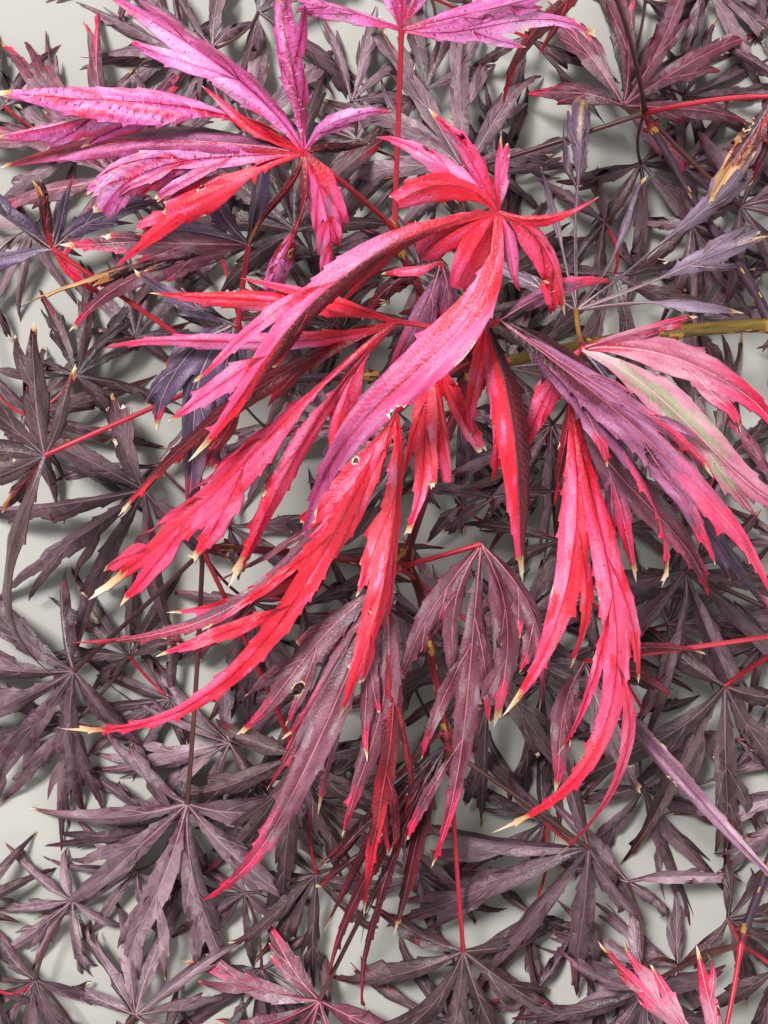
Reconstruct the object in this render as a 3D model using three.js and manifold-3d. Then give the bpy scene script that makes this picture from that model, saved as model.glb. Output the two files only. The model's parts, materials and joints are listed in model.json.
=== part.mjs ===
// A cut branch of a laceleaf Japanese maple, lying where it was put down, with its leaves
// heaped over it. Millimetres, +Z up. The branch lies along X with its cut end towards +X.
import * as THREE from "three";
import { mergeVertices } from "three/addons/utils/BufferGeometryUtils.js";
import Module from "manifold-3d";

// Driving dimensions
const STEM_THICK = 3.8;          // diameter of the branch at its cut end
const STEM_FORK = 3.0;           // diameter where it forks
const SHOOT_THICK = 2.8;         // side shoots, at their foot
const SHOOT_TIP = 2.0;
const BOUGH_THICK = 3.2;         // long side boughs, at their foot
const BOUGH_TIP = 2.4;
const TWIG_THICK = 2.2;          // the short stem inside each mass of leaves
const LEAF_STALK = 1.5;          // leaf stalks are thin and stiff
const GAP = 0.3;                 // clearance between a limb and what grows from it

// One blade of a leaf, as shares of its length and of its greatest width
const BLADE_STATIONS = [0, 0.12, 0.42, 0.74, 1];
const BLADE_WIDTHS = [0.14, 0.26, 1, 0.62, 0];
const SHORT_STATIONS = [0, 0.34, 0.68, 1];
const SHORT_WIDTHS = [0.15, 0.9, 0.8, 0];
const SHORT_BLADE = 62;          // blades below this length take the short form
const STUB_BLADE = 34;           // and below this one the shortest
const STUB_STATIONS = [0, 0.5, 1];
const STUB_WIDTHS = [0.2, 1, 0];
const BLADE_THICK = 0.9;         // least thickness at the midrib
const THICK_PER_LENGTH = 1 / 85; // long blades are thicker in proportion
const BLADE_RISE = 0.06;         // a blade arches up by this share of its length
const DROOP = 1.4;               // and its tip then hangs this much lower than a fresh one's
const KNOB = 2.4;                // radius of the knuckle where the blades of a leaf meet
const BLADE_FOOT = 1.4;          // a blade starts this far out, inside the knuckle
const HALF_BASE = Math.sqrt(3) / 2;  // half the base of a triangle of radius 1
const RIDGE = 2 / 3;             // height of its top corner, as a share of the thickness

// Side blades of a long blade: where each leaves it, how long it is and how far it turns out
const SIDE_BLADE_FROM = 62;
const SIDE_PLACES = [0.3, 0.5];
const SIDE_LENGTHS = [0.26, 0.22];
const SIDE_TURN = 30;
const SIDE_WIDTH = 0.34;
const SIDE_WIDTHS = [0.8, 1, 0];

// A leaf that follows the plain rule: headings of its blades and their share of the length
const SPREAD_HEADINGS = [0, 31, -31, 64, -64, 104, -104];
const SPREAD_LENGTHS = [1, 0.93, 0.93, 0.76, 0.76, 0.5, 0.5];
const SPREAD_WIDTH = 0.105;
const SPREAD_DROP = 0.3;         // its tips hang this share of their length below the middle

// Limbs, foot first. Each one is a single tapering shoot along its own course.
const LIMBS = [
  { name: "main_stem", thick: [STEM_THICK, STEM_FORK], sides: 10, colour: 0x6b5a3c,
    course: [[131, 49, 27], [103, 50, 30], [73, 47, 37], [46, 42, 43], [20, 36, 48]] },
  { name: "leader_shoot", thick: [SHOOT_THICK, SHOOT_TIP], sides: 6, colour: 0x3d2430,
    course: [[21, 36, 48], [6, 34.5, 49.5], [-10, 34.5, 50.5], [-31, 33, 52]] },
  { name: "upper_shoot", thick: [2.4, SHOOT_TIP], sides: 6, colour: 0x5c2333,
    course: [[20, 36, 48], [16, 43, 53], [10, 53, 60], [3.4, 64.5, 66]] },
  { name: "lower_shoot", thick: [SHOOT_THICK, 2.3], sides: 6, colour: 0x5c2333,
    course: [[21, 36, 47.5], [19, 27, 45], [14, 14, 45], [5.4, -12, 46]] },
  { name: "low_left_shoot", thick: [2.3, SHOOT_TIP], sides: 6, colour: 0x4a1f2c,
    course: [[6, -10.5, 46], [0, -13, 46], [-18, -11, 45], [-42, -9, 44]] },
  { name: "tail_shoot", thick: [2.4, SHOOT_TIP], sides: 6, colour: 0x5c2333,
    course: [[5.4, -12, 46], [9, -20, 44.5], [12, -36, 43], [16.5, -58, 40]] },
  { name: "right_bough", thick: [BOUGH_THICK, BOUGH_TIP], sides: 7, colour: 0x3d2430,
    course: [[120, 49.7, 28], [127, 25, 29], [121, -30, 32], [102, -93, 35], [95, -111, 36]] },
  { name: "upper_right_bough", thick: [3.0, SHOOT_TIP], sides: 8, colour: 0x3d2430,
    course: [[104, 49.9, 30], [98, 62, 29], [86, 80, 28], [72, 104, 28]] },
];

// Masses of leaves. The stem is the course of the short twig inside each mass. A leaf springs
// from the twig's point at, its blades meet at hub, and each blade is
// [heading in degrees, length, bow near its foot, bow near its tip, width, rise of its tip].
// The bows are sideways, to the left of the heading. spread lists leaves that follow the plain
// rule, each as [x, y, z, heading, length].
const MASSES = [
  { name: "foliage_crown", colour: 0xd8324f,
    stem: [[20.5, 36.2, 48.2], [21, 38, 58], [22, 42, 72]],
    leaves: [
      { hub: [25, 66, 100], at: 2, blades: [
        [145, 34, -2, -1, 6, -4], [128, 27, -2, -3, 5, 2], [89, 16, 0, 0, 3.5, 4],
        [177, 23, -7, -6, 7.5, 2], [-139, 88, -18, -9, 8, -10], [-152, 20, -1, -1, 9, -4],
        [-118, 83, 17, -19, 10.5, -10], [-120, 18, 0, 0, 8, -6], [-76, 18, 1, 1, 5, -4],
        [-55, 28, 8, 2, 8, -4], [7, 22, -4, -4, 2.5, 4]] },
      { hub: [26, 43, 94], at: 2, blades: [
        [-43, 93, 2, 10, 9, -10], [-33, 62, 0, 0, 5.5, -6], [-42, 47, 5, 5, 6, -6],
        [-54, 74, 8, 8, 7, -12], [20, 30, 3, 3, 5, -6]] },
      { hub: [23, 44, 88], at: 2, blades: [
        [-82, 63, 7, 3, 8.5, -12], [-98, 27, -1, 0, 5, -8], [-88, 38, 4, 4, 6.5, -8]] },
      { hub: [3, 44, 84], at: 2, blades: [
        [174, 59, -3, -2, 6, 0], [166, 38, -1, -1, 4, 3], [-176, 69, 6, -1, 5, -3],
        [-141, 100, -1, 13, 11, -18], [-146, 84, -6, -6, 6, -16], [-114, 39, -5, -5, 7, -8],
        [-122, 75, -8, -4, 7, -14]] },
      { hub: [11, 39, 78], at: 1, blades: [
        [-96, 46, 3, 2, 6, -6], [-64, 28, -2, -1, 5, -3], [-80, 33, 0, 0, 6, -4]] },
      { hub: [3, 24, 70], at: 1, blades: [
        [-102, 78, 4, 10, 10, -6], [-118, 51, 3, 4, 8, -3], [-136, 116, 17, 23, 6, -8],
        [-141, 74, 15, 26, 7, -6], [-146, 98, 20, 24, 5, -10], [-130, 36, 2, 2, 6, 0]] },
      { hub: [13.5, 59.5, 74], at: 1, blades: [
        [-114, 36, 1, 0, 6, -6], [-84, 22, 1, 1, 5.5, -4], [-146, 24, -4, -3, 5, -8],
        [-172, 15, 1, 1, 4, -2]] },
    ],
    spread: [] },
  { name: "foliage_upper", colour: 0xdc3a58,
    stem: [[3.8, 63.8, 65.6], [2.5, 68, 71]],
    leaves: [
      { hub: [-18, 81, 92], at: 1, blades: [
        [141, 58, -6, 0, 9, 2], [98, 35, 0, 0, 6, 4], [25, 22, 4, 3, 4, 2], [10, 15, 2, -2, 2.4, 0],
        [168, 72, -5, 0, 10.5, 2], [147, 27, 3, 2, 2.8, 4], [177, 77, -17, -2, 9.5, -4],
        [-179, 74, -4, -3, 9.5, -11], [-167, 51, -2, -8, 7.5, -6], [-174, 56, -1.5, -1.5, 6, -8],
        [-151, 51, -2, -4, 5, -7], [-157, 35, 0, 0, 8.5, -2], [-81, 30, 5, 4, 9, -6],
        [-109, 31, 6, 4, 8, -8], [-125, 24, 4, -3, 2.2, -10]] },
      { hub: [4, 110, 88], at: 1, blades: [
        [162, 28, 0, 0, 5, 0], [112, 30, 0, 0, 5, 2], [88, 34, 0, 0, 5, 3], [62, 30, 0, 0, 5, 2],
        [1, 46, -3, 4, 5, -4], [14, 40, -2, -1, 6, 3]] },
    ],
    spread: [] },
  { name: "foliage_right", colour: 0x9c3350,
    stem: [[52, 43.4, 42.4], [50, 42, 53]],
    leaves: [
      { hub: [46, 38, 82], at: 1, blades: [
        [18, 28, 0, 0, 4.5, 2], [-22, 56, 9, 5, 9, -4], [-36, 70, 3, -4, 10, -8],
        [-52, 84, 3, -4, 8, -12], [-128, 66, 2, 2, 8.5, -12], [-118, 30, -2, -3, 6, -8]] },
      { hub: [44, 28, 76], at: 1, blades: [
        [-95, 28, 0, 0, 3, -6], [-101, 80, 5, 17, 8, -8], [-99, 113, 10, 39, 8, -10],
        [-70, 50, 4, 4, 6, -8], [-53, 62, -5, 4, 9, -10]] },
      { hub: [50.5, 53, 38], at: 1, blades: [
        [88, 60, 0, 0, 7, -6], [104, 40, 0, 0, 3, -2], [66, 42, -4, -3, 3, -2],
        [42, 72, -3, -1, 6, -8], [21, 58, 0, 3, 6, -8], [1, 49, 3, 2, 4.5, -8], [150, 30, 0, 0, 4, -6]] },
    ],
    spread: [] },
  { name: "foliage_left", colour: 0x5a3144,
    stem: [[-30, 33, 52], [-38, 35, 53.5]],
    leaves: [
      { hub: [-35, 44, 79], at: 1, blades: [
        [-131, 32, -5, -4, 8, -6], [-109, 51, -11, 3, 9, -10], [-106, 31, 1, 1, 6, -8],
        [-84, 17, 0, 0, 4, -5], [150, 30, 2, 2, 5, -8]] },
      { hub: [-33, 65, 66], at: 1, blades: [
        [-156, 50, -7, -6, 7, -6], [170, 28, -1, -1, 5, 2], [-179, 47, -2, -2, 7, -3],
        [-167, 61, -2, -2, 4.5, -8], [120, 36, 2, 2, 6, -6], [80, 30, 0, 0, 6, -8]] },
      { hub: [-82, 65, 60], at: 1, blades: [
        [144, 30, 0, 0, 6, 0], [103, 17, 1, -2, 4, 4], [70, 18, 0, 0, 3, 5], [23, 31, 4, 3, 5, 2],
        [-42, 19, -2, -1, 3, -4], [-170, 34, 0, 0, 5, -6]] },
      { hub: [-84, 14, 60], at: 1, blades: [
        [95, 33, 0, 0, 7, 4], [70, 24, -1, -1, 3, 3], [138, 28, 0, 0, 5, 0], [171, 27, 0, 0, 6, -2],
        [-158, 28, 0, 0, 6, -4], [-130, 20, 2, -2, 5, -6], [-91, 57, -6, -18, 7, -8]] },
    ],
    spread: [[-66, 6, 20, 215, 62], [-24, 76, 27, 112, 56], [-74, 92, 20, 128, 60]] },
  { name: "foliage_lower", colour: 0x5c2f48,
    stem: [[5.4, -12, 46], [4, -14, 52]],
    leaves: [
      { hub: [0, -18, 58], at: 1, blades: [
        [-132, 54, -2, -2, 7, -3], [-122, 47, 0, 0, 6, -1], [-119, 62, -2, -1, 6, -5],
        [-117, 96, 1, 6, 8, -8], [-106, 63, -3, -2, 6, -4], [-98, 45, -2, -1, 6, -2],
        [-101, 67, 8, 9, 7, -8], [-91, 71, 4, 4, 6, -10], [-95, 90, 8, 9, 5, -14]] },
      { hub: [24, -8, 60], at: 1, blades: [
        [-93, 49, -9, -8, 5, -4], [-98, 85, 2, 4, 6, -8], [-95, 65, 2, 3, 5, -6],
        [-87, 47, 7, 8, 9, -3], [-72, 45, 9, 8, 6, -3], [-117, 44, -4, -4, 6, -6]] },
    ],
    spread: [[28, -34, 24, 270, 60]] },
  { name: "foliage_tail", colour: 0x7c1f33,
    stem: [[16.3, -57, 40.2], [17, -62, 41]],
    leaves: [
      { hub: [16, -60, 46], at: 1, blades: [
        [-113, 81, -4, -11, 3.5, -12], [-109, 77, -4, -3, 3.5, -10], [-121, 65, -6, -5, 4, -12],
        [-104, 56, -1, -1, 5, -12], [-134, 51, -3, -2, 4, -8]] },
    ],
    spread: [[56, -92, 22, 205, 64], [22, -122, 16, 262, 56], [-18, -136, 15, 232, 54]] },
  { name: "foliage_low_left", colour: 0x6a4257,
    stem: [[-41, -9, 44], [-47, -10, 43]],
    leaves: [],
    spread: [[-54, -80, 21, 250, 66], [-86, -44, 17, 205, 60], [-24, -66, 24, 265, 54]] },
  { name: "foliage_low_right", colour: 0x8a3a50,
    stem: [[95.3, -110.3, 36], [94, -114, 37]],
    leaves: [
      { hub: [86, -141, 46], at: 1, blades: [
        [138, 42, -1, -1, 6, -4], [100, 30, 0, 0, 5, 0], [178, 44, 3, 3, 7, -10],
        [-135, 40, 2, 2, 7, -12], [-88, 36, 0, 0, 7, -14], [-40, 38, -2, -2, 7, -12],
        [10, 40, 0, 0, 7, -10]] },
    ],
    spread: [[72, -132, 17, 262, 52], [108, -126, 19, 318, 54]] },
  { name: "foliage_mid_right", colour: 0x6e3a54,
    stem: [[121.5, -30, 32], [114, -31, 36]],
    leaves: [
      { hub: [51, -38, 50], at: 1, blades: [
        [-49, 86, -6, 2, 6, -8], [4, 32, 4, 4, 3, 0], [-22, 24, 2, 2, 5, 0], [-99, 37, -4, -3, 7, -6],
        [-66, 41, -2, -2, 6, -8]] },
    ],
    spread: [[82, -16, 24, 292, 60], [94, -48, 19, 245, 60], [108, 8, 18, 20, 50]] },
  { name: "foliage_upper_right", colour: 0x74405a,
    stem: [[72.4, 103.2, 28], [70, 107, 30]],
    leaves: [
      { hub: [50, 129, 80], at: 1, blades: [
        [-122, 38, 0, -10, 5, -8], [160, 44, 2, 2, 7, -6], [118, 46, 0, 0, 7, -4],
        [80, 46, 0, 0, 7, -6], [42, 44, 0, 0, 7, -8], [4, 38, 0, 0, 7, -10]] },
      { hub: [97, 104, 56], at: 1, blades: [
        [-119, 29, 3, -3, 6, -6], [-98, 22, 2, 2, 4, -6], [-20, 30, 0, 0, 5, -8],
        [40, 36, 0, 0, 6, -6], [84, 34, 0, 0, 6, -6]] },
    ],
    spread: [[66, 112, 19, 62, 56], [98, 84, 20, 10, 56], [22, 94, 20, 118, 54]] },
];

const wasm = await Module();
wasm.setup();

// A closed cone or cylinder, its rings laid one after another along a course. place gives each
// corner its position, from the ring's number and the corner's direction about the axis.
function sweep(sides, rings, pointed, place) {
  const shape = pointed
    ? new THREE.ConeGeometry(1, 1, sides, rings)
    : new THREE.CylinderGeometry(1, 1, 1, sides, rings);
  const corners = shape.attributes.position;
  const corner = new THREE.Vector3();
  for (let i = 0; i < corners.count; i++) {
    corner.fromBufferAttribute(corners, i);
    const ring = Math.round((corner.y + 0.5) * rings);
    const out = Math.hypot(corner.x, corner.z);
    const across = out > 1e-6 ? corner.x / out : 0;
    const above = out > 1e-6 ? corner.z / out : 0;
    place(ring, across, above, corner);
    corners.setXYZ(i, corner.x, corner.y, corner.z);
  }
  return solidOf(shape);
}

function solidOf(shape) {
  shape.deleteAttribute("normal");
  shape.deleteAttribute("uv");
  const joined = mergeVertices(shape, 1e-4);
  const index = joined.index.array;
  const kept = [];
  for (let i = 0; i < index.length; i += 3) {
    const [a, b, c] = [index[i], index[i + 1], index[i + 2]];
    if (a !== b && b !== c && c !== a) kept.push(a, b, c);
  }
  return new wasm.Manifold(new wasm.Mesh({
    numProp: 3,
    vertProperties: new Float32Array(joined.attributes.position.array),
    triVerts: new Uint32Array(kept),
  }));
}

function geometryOf(solid) {
  const mesh = solid.getMesh();
  const geometry = new THREE.BufferGeometry();
  geometry.setAttribute("position", new THREE.BufferAttribute(mesh.vertProperties, 3));
  geometry.setIndex(new THREE.BufferAttribute(mesh.triVerts, 1));
  geometry.computeVertexNormals();
  return geometry;
}

const vector = (p) => new THREE.Vector3(...p);

// A round stem along a curve, from one thickness to another
function stalk(curve, footThick, tipThick, sides, rings) {
  const frames = curve.computeFrenetFrames(rings, false);
  return sweep(sides, rings, false, (ring, across, above, corner) => {
    const t = ring / rings;
    const radius = THREE.MathUtils.lerp(footThick, tipThick, t) / 2;
    curve.getPointAt(t, corner);
    corner.addScaledVector(frames.normals[ring], across * radius);
    corner.addScaledVector(frames.binormals[ring], -above * radius);
  });
}

// The same limb a little larger all over, to cut its neighbours clear of it
function fatLimb(limb, extra) {
  const points = limb.course.map(vector);
  const last = points.length - 1;
  const onward = points[last].clone().sub(points[last - 1]).setLength(extra);
  points[last].add(onward);
  const [foot, tip] = limb.thick;
  return stalk(new THREE.CatmullRomCurve3(points), foot + 2 * extra, tip + 2 * extra,
    limb.sides, ringsFor(limb));
}

function ringsFor(limb) {
  return Math.max(4, Math.round(new THREE.CatmullRomCurve3(limb.course.map(vector)).getLength() / 16));
}

// The centre line of a blade: from the hub, bowed sideways, arching and then dropping
function bladeCurve(hub, [heading, length, bowFoot, bowTip, , tipRise]) {
  const rise = tipRise < 0 ? tipRise * DROOP : tipRise;
  const angle = THREE.MathUtils.degToRad(heading);
  const ahead = new THREE.Vector3(Math.cos(angle), Math.sin(angle), 0);
  const left = new THREE.Vector3(-ahead.y, ahead.x, 0);
  const arch = length * BLADE_RISE;
  const point = (share, bow, lift) => hub.clone()
    .addScaledVector(ahead, length * share)
    .addScaledVector(left, bow)
    .setZ(Math.max(hub.z + lift, thicknessOf(length) / 2));
  return new THREE.CubicBezierCurve3(hub, point(1 / 3, bowFoot, arch + rise * 0.1),
    point(2 / 3, bowTip, arch + rise * 0.5), point(1, 0, rise));
}

const thicknessOf = (length) => Math.max(BLADE_THICK, length * THICK_PER_LENGTH);

// A blade is a low triangle in section, ridged along its midrib, as wide as its profile says
function blade(curve, length, width, stations, widths, start) {
  const thick = thicknessOf(length);
  const tangent = new THREE.Vector3();
  const right = new THREE.Vector3();
  const up = new THREE.Vector3();
  const rings = stations.length - 1;
  return sweep(3, rings, true, (ring, across, above, corner) => {
    const t = Math.max(stations[ring], start / length);
    curve.getPoint(t, corner);
    curve.getTangent(t, tangent);
    right.set(tangent.y, -tangent.x, 0).normalize();
    up.crossVectors(right, tangent);
    corner.addScaledVector(right, across * widths[ring] * width / (2 * HALF_BASE));
    corner.addScaledVector(up, above * thick * RIDGE * Math.min(1, 0.6 + widths[ring]));
  });
}

function profileOf(length) {
  if (length < STUB_BLADE) return [STUB_STATIONS, STUB_WIDTHS];
  if (length < SHORT_BLADE) return [SHORT_STATIONS, SHORT_WIDTHS];
  return [BLADE_STATIONS, BLADE_WIDTHS];
}

function wholeBlade(curve, length, width) {
  const [stations, widths] = profileOf(length);
  const parts = [blade(curve, length, width, stations, widths, BLADE_FOOT)];
  if (length < SIDE_BLADE_FROM || width < 5) return parts;
  SIDE_PLACES.forEach((place, i) => {
    const side = i % 2 ? -1 : 1;
    const foot = curve.getPoint(place);
    const tangent = curve.getTangent(place);
    const heading = THREE.MathUtils.radToDeg(Math.atan2(tangent.y, tangent.x));
    const reach = length * SIDE_LENGTHS[i];
    const row = [heading + side * SIDE_TURN, reach, -side, -side, 0, tangent.z * reach * 0.8];
    parts.push(blade(bladeCurve(foot, row), reach, width * SIDE_WIDTH + 1,
      STUB_STATIONS, SIDE_WIDTHS, 0));
  });
  return parts;
}

// Everything already in place is kept as small discs, so that a new blade can be kept clear
const taken = [];

function discsAlong(curve, owner, halfWidth, halfThick) {
  const count = Math.max(3, Math.round(curve.getLength() / 2.5));
  const discs = [];
  for (let i = 1; i <= count; i++) {
    const t = i / count;
    const p = curve.getPoint(t);
    const slope = Math.abs(p.z - curve.getPoint(t - 1 / count).z) / 2;
    discs.push({ owner, x: p.x, y: p.y, z: p.z, wide: halfWidth(t), high: halfThick + slope });
  }
  return discs;
}

function meets(discs) {
  return discs.some((a) => taken.some((b) => a.owner !== b.owner
    && Math.abs(a.z - b.z) < a.high + b.high + GAP
    && Math.hypot(a.x - b.x, a.y - b.y) < a.wide + b.wide + GAP));
}

// A blade's tip is lifted or let down until the blade is clear of other masses and limbs. A
// blade that stays blocked is left out.
const TIP_SHIFTS = [0, -2, 2, -4, 4, -6, 6, -9, -12, 9];

function placeBlade(hub, row, owner) {
  for (const shift of TIP_SHIFTS) {
    const moved = row.with(5, row[5] + shift);
    const curve = bladeCurve(hub, moved);
    const discs = discsAlong(curve, owner, (t) => Math.max(1, row[4] / 2 * Math.sin(Math.PI * Math.sqrt(t))),
      thicknessOf(row[1]) / 2);
    if (!meets(discs)) {
      taken.push(...discs);
      return wholeBlade(curve, row[1], row[4]);
    }
  }
  return [];
}

// A stalk that rises from the twig and levels out at the hub
function leafStalkCurve(from, hub) {
  const bend = from.clone().lerp(hub, 0.55).setZ(THREE.MathUtils.lerp(from.z, hub.z, 0.85));
  return new THREE.QuadraticBezierCurve3(from, bend, hub);
}

function spreadRows(heading, length) {
  return SPREAD_HEADINGS.map((turn, i) => {
    const reach = length * SPREAD_LENGTHS[i];
    const bow = Math.sign(turn) * -0.05 * reach;
    return [heading + turn, reach, bow, bow, length * SPREAD_WIDTH, -reach * SPREAD_DROP];
  });
}

function knob(hub) {
  return solidOf(new THREE.CylinderGeometry(KNOB, KNOB, 1.4, 7, 1).rotateX(Math.PI / 2)
    .translate(hub.x, hub.y, hub.z));
}

// The leaves of a mass, as { from, hub, rows }
function leavesOf(mass) {
  const twig = mass.stem.map(vector);
  const traced = mass.leaves.map((leaf) =>
    ({ from: twig[leaf.at], hub: vector(leaf.hub), rows: leaf.blades }));
  const plain = mass.spread.map(([x, y, z, heading, length]) =>
    ({ from: twig[twig.length - 1], hub: new THREE.Vector3(x, y, z), rows: spreadRows(heading, length) }));
  return [...traced, ...plain];
}

function biggestPiece(solid) {
  const pieces = solid.decompose();
  return pieces.reduce((best, piece) => piece.volume() > best.volume() ? piece : best);
}

const branch = new THREE.Group();

function addNode(name, solid, colour, roughness) {
  const material = new THREE.MeshStandardMaterial({ color: colour, roughness, metalness: 0 });
  const mesh = new THREE.Mesh(geometryOf(solid), material);
  mesh.name = name;
  branch.add(mesh);
}

// Limbs, each cut clear of the ones before it
const fatLimbs = [];
for (const limb of LIMBS) {
  const curve = new THREE.CatmullRomCurve3(limb.course.map(vector));
  let solid = stalk(curve, ...limb.thick, limb.sides, ringsFor(limb));
  for (const other of fatLimbs) solid = solid.subtract(other);
  addNode(limb.name, biggestPiece(solid), limb.colour, 0.6);
  fatLimbs.push(fatLimb(limb, GAP));
  taken.push(...discsAlong(curve, limb.name, () => limb.thick[0] / 2, limb.thick[0] / 2));
}

// Twigs and leaf stalks come first, so that the blades of every mass keep clear of them
const frames = MASSES.map((mass) => {
  const twig = new THREE.CatmullRomCurve3(mass.stem.map(vector));
  const leaves = leavesOf(mass);
  for (const leaf of leaves) {
    leaf.stalk = leafStalkCurve(leaf.from, leaf.hub);
    taken.push(...discsAlong(leaf.stalk, mass.name, () => LEAF_STALK / 2, LEAF_STALK / 2));
  }
  return { twig, leaves };
});

MASSES.forEach((mass, i) => {
  const { twig, leaves } = frames[i];
  const parts = [stalk(twig, TWIG_THICK, TWIG_THICK, 5, 2)];
  for (const { hub, rows, stalk: stalkCurve } of leaves) {
    parts.push(stalk(stalkCurve, LEAF_STALK, LEAF_STALK * 0.8, 3, 3), knob(hub));
    for (const row of rows) parts.push(...placeBlade(hub, row, mass.name));
  }
  let solid = wasm.Manifold.union(parts);
  for (const limb of fatLimbs) solid = solid.subtract(limb);
  addNode(mass.name, biggestPiece(solid), mass.colour, 0.5);
});

// The origin is under the middle of the branch, on the surface that it lies on
const bounds = new THREE.Box3().setFromObject(branch);
const middle = bounds.getCenter(new THREE.Vector3());
branch.position.set(-middle.x, -middle.y, -bounds.min.z);

const object = new THREE.Group();
object.add(branch);

export default object;
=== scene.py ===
"""A cut branch of a laceleaf Japanese maple, lying down, seen from above.

Lengths in this file are millimetres in the branch's own frame unless a name says metres.
"""
import functools
import json
import math

import bpy
import numpy as np
from bpy.props import FloatProperty, FloatVectorProperty, IntProperty, PointerProperty
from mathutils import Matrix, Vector, noise
from mathutils.geometry import delaunay_2d_cdt


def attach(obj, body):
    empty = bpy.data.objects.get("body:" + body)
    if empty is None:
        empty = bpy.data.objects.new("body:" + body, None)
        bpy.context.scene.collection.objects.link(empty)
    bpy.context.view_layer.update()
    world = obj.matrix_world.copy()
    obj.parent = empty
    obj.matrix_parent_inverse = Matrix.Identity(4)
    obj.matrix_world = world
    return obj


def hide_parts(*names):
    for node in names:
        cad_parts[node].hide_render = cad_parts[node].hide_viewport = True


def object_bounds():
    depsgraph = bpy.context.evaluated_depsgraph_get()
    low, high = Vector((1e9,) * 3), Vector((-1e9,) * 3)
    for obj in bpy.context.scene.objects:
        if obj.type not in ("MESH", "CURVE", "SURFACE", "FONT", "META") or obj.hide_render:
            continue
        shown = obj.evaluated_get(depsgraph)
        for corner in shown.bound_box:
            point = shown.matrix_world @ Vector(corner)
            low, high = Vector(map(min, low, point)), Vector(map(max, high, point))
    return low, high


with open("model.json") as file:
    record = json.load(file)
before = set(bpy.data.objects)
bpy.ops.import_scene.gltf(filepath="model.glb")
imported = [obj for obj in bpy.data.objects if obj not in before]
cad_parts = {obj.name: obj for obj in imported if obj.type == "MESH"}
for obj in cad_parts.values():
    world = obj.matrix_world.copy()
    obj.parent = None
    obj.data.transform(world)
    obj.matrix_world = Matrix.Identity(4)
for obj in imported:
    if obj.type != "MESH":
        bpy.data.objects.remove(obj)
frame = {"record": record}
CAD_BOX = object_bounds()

bl_info = {
    "name": "Laceleaf Maple Branch",
    "version": (1, 0, 0),
    "blender": (4, 5, 0),
    "location": "View3D > Sidebar > Maple",
    "description": "A cut laceleaf maple branch with drooping red and purple leaves",
    "category": "Add Mesh",
}

MM = 0.001
CUT_END = (131.0, 49.0, 27.0)    # the middle of the cut, in the branch's own frame
PICTURE_WIDTH = 768              # pixels
FOCAL_PIXELS = 1454.5            # the picture's focal length, in its pixels
SENSOR_WIDTH = 36                # of a plain full-frame camera
FLOOR_HALF = 40                  # half the floor's side, in metres
SKY_COLOUR = "#F1F0EE"
SHARP_ANGLE = 55                 # degrees; flatter edges are shaded smooth
MOUNT = next(m for m in frame["record"]["mounts"] if m["name"] == "cut_end")
SHIFT = np.array(MOUNT["pos_m"]) / MM - np.array(CUT_END)
REACH = [np.array(corner) / MM - SHIFT for corner in CAD_BOX]    # how far the branch may reach
FLOOR = REACH[0][2]

# Limbs: name, thickness at foot and tip, course, and bark
LIMBS = [
    ("main_stem", (3.8, 3.0), "olive",
     [(131, 49, 27), (103, 50, 30), (73, 47, 37), (46, 42, 43), (20, 36, 48)]),
    ("leader_shoot", (2.8, 2.0), "purple",
     [(21, 36, 48), (6, 34.5, 49.5), (-10, 34.5, 50.5), (-31, 33, 52)]),
    ("upper_shoot", (2.4, 2.0), "ruby",
     [(20, 36, 48), (16, 43, 53), (10, 53, 60), (3.4, 64.5, 66)]),
    ("lower_shoot", (2.8, 2.3), "ruby",
     [(21, 36, 47.5), (19, 27, 45), (14, 14, 45), (5.4, -12, 46)]),
    ("low_left_shoot", (2.3, 2.0), "ruby",
     [(6, -10.5, 46), (0, -13, 46), (-18, -11, 45), (-42, -9, 44)]),
    ("tail_shoot", (2.4, 2.0), "ruby",
     [(5.4, -12, 46), (9, -20, 44.5), (12, -36, 43), (16.5, -58, 40)]),
    ("right_bough", (3.2, 2.4), "purple",
     [(120, 49.7, 28), (127, 25, 29), (121, -30, 32), (102, -93, 35), (95, -111, 36)]),
    ("upper_right_bough", (3.0, 2.0), "purple",
     [(104, 49.9, 30), (98, 62, 29), (86, 80, 28), (72, 104, 28)]),
]

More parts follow.
